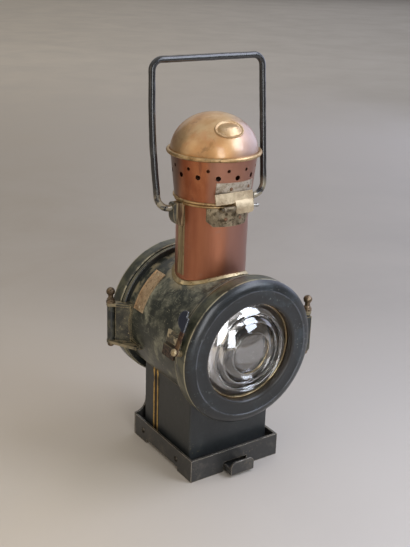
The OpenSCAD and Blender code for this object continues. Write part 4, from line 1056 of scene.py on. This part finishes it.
knocked(bm, 0.35 * MM, 0.034, lift=-0.15 * MM, seed=8, where=off_corners_and_seam)
bmesh.ops.solidify(bm, geom=bm.faces[:], thickness=1.5 * MM)
outward(bm)
show("pedestal_sheet", minus(bm, barrel_plug()), box_green, "lamp", "green_paint", "pedestal_box")

# %% [markdown]
# ## The dome
# The dome is spun from brass over a wooden form, and its rim is rolled over a wire. The shell and
# the roll are separate rings here, so each keeps a clean section. The rim sits over the drum, so
# only the shell above it is knocked.

# %% Dome shell and rolled rim
DOME_Z, DOME_R, DOME_H, SKIRT_Z, SHEET = 433.7, 57.2, 49.4, 431.9, 1.2
section = [(DOME_R, SKIRT_Z)]
section += [(DOME_R * math.cos(t), DOME_Z + DOME_H * math.sin(t))
            for t in (math.radians(90 * i / 40) for i in range(41))]
section += [((DOME_R - SHEET) * math.cos(t), DOME_Z + (DOME_H - SHEET) * math.sin(t))
            for t in (math.radians(90 - 90 * i / 20) for i in range(21))]
section += [(DOME_R - SHEET, SKIRT_Z)]
dome = turned(section, steps=144)
knocked(dome, 0.34 * MM, 0.013, seed=11, where=lambda p: p.z > 0.438)
show("dome_spinning", dome, dome_brass, "head", "copper", "dome")
roll = turned(arc(59.3, DOME_Z, 2.8, 0, 345, 23), steps=144)
knocked(roll, 0.14 * MM, 0.010, seed=12)
show("dome_roll", roll, bead_brass, "head", "aged_brass")

# %% [markdown]
# A small plain oval is pressed on the dome's front. Its inside is folded into two low slopes with
# a ridge between them, and its edge is raised in a bright bead. It could be carved out of the
# dome's own mesh, but the bead is finer than the dome's faces. So the oval starts as a flat disc,
# inset ring by ring, and is laid over the dome's curve.

# %% Pressed oval on the dome
OVAL_W, OVAL_H, OVAL_TURN, OVAL_TILT = 20.5, 13.5, -7.0, 49.0
RIM_RISE = ((1.0, -0.5), (0.97, 0.9), (0.94, 1.8), (0.905, 2.0), (0.87, 1.6), (0.83, 0.5),
            (0.78, 0.1))


def on_dome(across, upward, out):
    """A point of the oval, in millimetres across and up it, laid on the dome and lifted off it."""
    turn = (Matrix.Rotation(math.radians(OVAL_TURN), 4, "Z")
            @ Matrix.Rotation(math.radians(OVAL_TILT), 4, "X"))
    start = turn @ Vector((across, -upward, 0))
    way = turn @ Vector((0, 0, 1))
    a = (way.x ** 2 + way.y ** 2) / DOME_R ** 2 + way.z ** 2 / DOME_H ** 2
    b = 2 * ((start.x * way.x + start.y * way.y) / DOME_R ** 2 + start.z * way.z / DOME_H ** 2)
    c = (start.x ** 2 + start.y ** 2) / DOME_R ** 2 + start.z ** 2 / DOME_H ** 2 - 1
    hit = start + way * ((-b + math.sqrt(b * b - 4 * a * c)) / (2 * a))
    normal = Vector((hit.x / DOME_R ** 2, hit.y / DOME_R ** 2, hit.z / DOME_H ** 2)).normalized()
    hit += normal * out
    return Vector((hit.x, hit.y, hit.z + DOME_Z)) * MM


def oval_lift(x, y, reach):
    """The bead near the edge, and inside it the two slopes that meet at a ridge."""
    for (r1, h1), (r2, h2) in zip(RIM_RISE, RIM_RISE[1:]):
        if r2 <= reach <= r1 + 1e-6:
            return h2 + (h1 - h2) * (reach - r2) / (r1 - r2)
    slope = abs(y + 0.10 * x) / 0.78
    return 0.1 + 2.6 * max(0.0, 1 - slope) * (1 - (reach / 0.80) ** 4)


oval = bmesh.new()
bmesh.ops.create_circle(oval, cap_ends=True, segments=96, radius=1.0)
for depth in (0.03, 0.03, 0.03, 0.035, 0.035) + (0.05,) * 15:
    bmesh.ops.inset_region(oval, faces=[f for f in oval.faces if len(f.verts) > 4],
                           thickness=depth, use_boundary=True, use_even_offset=True)
for v in oval.verts:
    v.co = on_dome(v.co.x * OVAL_W, v.co.y * OVAL_H, oval_lift(v.co.x, v.co.y, v.co.length))
outward(oval)
show("dome_oval", oval, oval_brass, "head", "aged_brass")

# %% [markdown]
# ## The bail
# One round bar, bent four times and sprung into its brackets. A curve with a round bevel would
# give the same bar, but not the smith's work on it, so a ring of points is pushed along the
# straights and spun round each bend, and then the bar is knocked slightly out of round. Its left
# leg bows outwards, and the whole bail leans back a little, as it does when it stands up.

# %% Bail
BAIL_Z, BAIL_H, BAIL_X, TOP_BEND, LOW_BEND, BAIL_START = 365.0, 185.0, 84.0, 14.0, 18.0, 51.1
LEG, LOW_X, TOP_X = BAIL_H - LOW_BEND - TOP_BEND, BAIL_X - LOW_BEND, BAIL_X - TOP_BEND


def push(bm, face, move, steps):
    for _ in range(steps):
        made = bmesh.ops.extrude_face_region(bm, geom=face)
        face = only(bmesh.types.BMFace, made["geom"])
        bmesh.ops.translate(bm, verts=face[0].verts, vec=Vector(move) * MM / steps)
    return face


def swing(bm, face, centre, turn, steps):
    made = bmesh.ops.spin(bm, geom=face, cent=Vector(centre) * MM, axis=(0, 1, 0), dvec=(0, 0, 0),
                          angle=math.radians(turn), steps=steps, use_merge=False,
                          use_duplicate=False)
    return only(bmesh.types.BMFace, made["geom_last"])


bm = bmesh.new()
start = Matrix.Translation((BAIL_START * MM, 0, 0)) @ Matrix.Rotation(math.pi / 2, 4, "Y")
bmesh.ops.create_circle(bm, cap_ends=True, segments=24, radius=4.4 * MM, matrix=start)
face = bm.faces[:]
for move, steps, bend in (
        ((LOW_X - BAIL_START, 0, 0), 4, (LOW_X, 0, LOW_BEND)),
        ((0, 0, LEG), 44, (TOP_X, 0, BAIL_H - TOP_BEND)),
        ((-2 * TOP_X, 0, 0), 40, (-TOP_X, 0, BAIL_H - TOP_BEND)),
        ((0, 0, -LEG), 44, (-LOW_X, 0, LOW_BEND)),
        ((LOW_X - BAIL_START, 0, 0), 4, None)):
    face = push(bm, face, move, steps)
    if bend:
        face = swing(bm, face, bend, -90, 14)
merge(bm)
inner = [f for f in bm.faces if len(f.verts) > 4 and 0.052 < abs(f.calc_center_median().x)]
bmesh.ops.delete(bm, geom=inner, context="FACES_ONLY")
outward(bm)
print("bail bar:", len(bm.faces), "faces before it is knocked")

# %% Bail out of true
knocked(bm, 0.30 * MM, 0.012, seed=14, where=lambda p: p.z > 0.012)
for v in bm.verts:
    if v.co.x < -0.060 and v.co.z > LOW_BEND * MM:
        reach = (v.co.z / MM - LOW_BEND) / LEG
        v.co.x -= 2.8 * MM * math.sin(math.pi * min(1.0, reach))
lean = Matrix.Rotation(math.radians(-5.7), 3, "X")
bmesh.ops.rotate(bm, verts=bm.verts, cent=(0, 0, 0), matrix=lean)
bmesh.ops.translate(bm, verts=bm.verts, vec=(0, 0, BAIL_Z * MM))
show("bail_bar", bm, bail_paint, "handle", "black_paint", "bail")

# %% [markdown]
# ## Pieces that keep their solids' form
# The remaining larger pieces are plates and brackets whose packed form is already right. Building
# them again would only risk their fit. Each one is copied, merged and given rounded edges of a
# size that suits its sheet: 0.7 mm on the heavy base strip, 0.25 mm on the thin nameplate.


# %% Dressed pieces of the lamp's body
def dress(node, material, body, slot, size):
    show(node + "_skin", soften(copy_of(node), size), material, body, slot, node)


dress("base_frame", base_black, "lamp", "worn_paint", 0.7)
dress("back_plate", base_black, "lamp", "worn_paint", 0.6)
dress("tray_floor", base_black, "lamp", "black_paint", 0.5)
dress("slide_guides", steel, "lamp", "dull_steel", 0.3)
dress("base_latch", base_black, "thumb_slide", "worn_paint", 0.6)
dress("font_can", tin_can, "lamp", "tinned_steel", 0.4)
dress("font_lid", old_brass, "lamp", "aged_brass", 0.4)
dress("nameplate", plate_copper, "lamp", "copper", 0.25)
for end, rear in ENDS:
    dress("hinge_bracket_" + end, hinge_paint, "lamp", "worn_paint", 0.6)
    dress("latch_keeper_" + end, keeper_paint, "lamp", "worn_paint", 0.4)
    dress("door_strap_" + end, strap_paint, end + "_door", "black_paint", 0.5)
    dress("latch_lever_" + end, lever_paint, end + "_latch", "black_paint", 0.5)

# %% Dressed pieces of the chimney and its head
dress("bail_brackets", bracket_paint, "lamp", "worn_paint", 0.6)
dress("tube_hinge_plate", tinned_brown, "lamp", "tinned_steel", 0.3)
dress("head_drum", drum_copper, "head", "copper", 0.3)
dress("head_hinge_plate", tinned, "head", "tinned_steel", 0.3)
dress("head_hinge_leaf", leaf_brass, "head", "aged_brass", 0.4)

# %% [markdown]
# Rivets, pins, beads and the pieces inside the lamp are turned or tiny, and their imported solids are
# round enough already. They only need their finish.

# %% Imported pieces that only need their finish
finishes = {
    "base_rivets": dull_iron, "filler_cap": old_brass, "burner": old_brass, "wick": wick_cotton,
    "wick_knob": old_brass, "nameplate_rivets": leaf_brass, "tube_bead": bead_brass,
    "tube_hinge_rivets": rusty, "head_bead": bead_brass, "head_hinge_rivets": rusty,
    "draught_baffle": drum_copper, "head_pin": steel,
}
for end, rear in ENDS:
    finishes.update({
        "collar_ring_" + end: ring_black, "lens_clamp_" + end: old_brass, "door_seal_" + end: felt,
        "latch_pin_" + end: pin_cream, "hinge_pin_" + end: pin_brown})
for node, material in finishes.items():
    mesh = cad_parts[node].data
    mesh.materials.clear()
    mesh.materials.append(material)
print("packed pieces finished:", len(finishes))

# %% [markdown]
# ## Floor
# The lamp stands on a wide roll of pale paper. Lamps near it make it fall off in brightness towards
# the back and warm up on the left. Light alone could do that, but it would also change the lamp,
# so the paper itself is toned a little, by distance from the lamp and by side.

# %% Floor
BACKWARD, SIDEWARD = (0.564, 0.826, 0), (0.826, -0.564, 0)
bm = bmesh.new()
bmesh.ops.create_grid(bm, x_segments=1, y_segments=1, size=60)
floor = as_object("floor", bm)
paper, tree, shader = finish("floor_paper", 0.85)
away = along_way(here(tree), BACKWARD)
side = sums("DIVIDE", along_way(here(tree), SIDEWARD), plus(away, 1.25))
shade = blend(spread(away, -0.25, 0.65), tone(206, 201, 192), tone(166, 161, 153))
shade = blend(spread(away, 0.8, 4.5), shade, tone(236, 232, 226))
tint = blend(spread(side, -0.25, 0.25), (1, 0.93, 0.83, 1), (0.96, 0.96, 1, 1))
shade = blend(1.0, shade, tint, way="MULTIPLY")
fibres = times(mottled(tree, 3.0, 0.2, 0.8), 0.3)
plug(shader.inputs["Base Color"], blend(fibres, shade, tone(186, 180, 172)))
floor.data.materials.append(paper)
print("floor ready")

# %% [markdown]
# ## Light
# Dark paint and polished metal show their form by what they reflect, so the lights are large faces
# and not points. Two tall windows stand in front, a third is high up for the doors' shoulders, a
# cool wall of light is at the right and a warm one at the left, and two broad ceilings fill in. A
# face is given by its brightness, so that its size can change and its gloss stays the same.


# %% Lights
def softbox(name, place, size, bright, colour):
    data = bpy.data.lights.new(name, "AREA")
    data.shape = "RECTANGLE"
    data.size, data.size_y = size
    data.energy = bright * math.pi * size[0] * size[1]
    data.color = colour
    made = put(name, data)
    made.location = place
    towards_lamp = Vector((0, 0, 0.25)) - Vector(place)
    made.rotation_euler = towards_lamp.to_track_quat("-Z", "Y").to_euler()


softbox("window_pane", (1.18, -1.60, 1.42), (1.05, 1.10), 6.0, (0.80, 0.87, 1.0))
softbox("window_left", (-0.62, -2.30, 0.85), (0.70, 1.60), 5.5, (0.94, 0.96, 1.0))
softbox("window_wall", (2.3, 0.2, 1.1), (2.4, 1.8), 1.4, (0.72, 0.77, 1.0))
softbox("lamp_left", (-2.2, -0.1, 1.2), (2.6, 1.7), 0.9, (1.0, 0.84, 0.66))
softbox("window_high", (1.08, -0.62, 1.85), (1.0, 0.7), 5.5, (0.76, 0.80, 1.0))
softbox("ceiling", (0.0, 0.5, 5.0), (8.0, 8.0), 0.52, (1.0, 0.97, 0.93))
softbox("far_ceiling", (4.0, 7.0, 5.0), (10.0, 8.0), 0.35, (0.98, 0.98, 1.0))
world = bpy.data.worlds.new("studio")
world.use_nodes = True
sky = world.node_tree.nodes["Background"]
sky.inputs[0].default_value = (0.58, 0.56, 0.54, 1)
sky.inputs[1].default_value = 0.28
bpy.context.scene.world = world
bpy.context.scene.view_settings.view_transform = "Standard"
bpy.context.scene.view_settings.look = "None"
print("lights:", len(bpy.data.lights))

# %% Bring the scene up to date
bpy.context.view_layer.update()
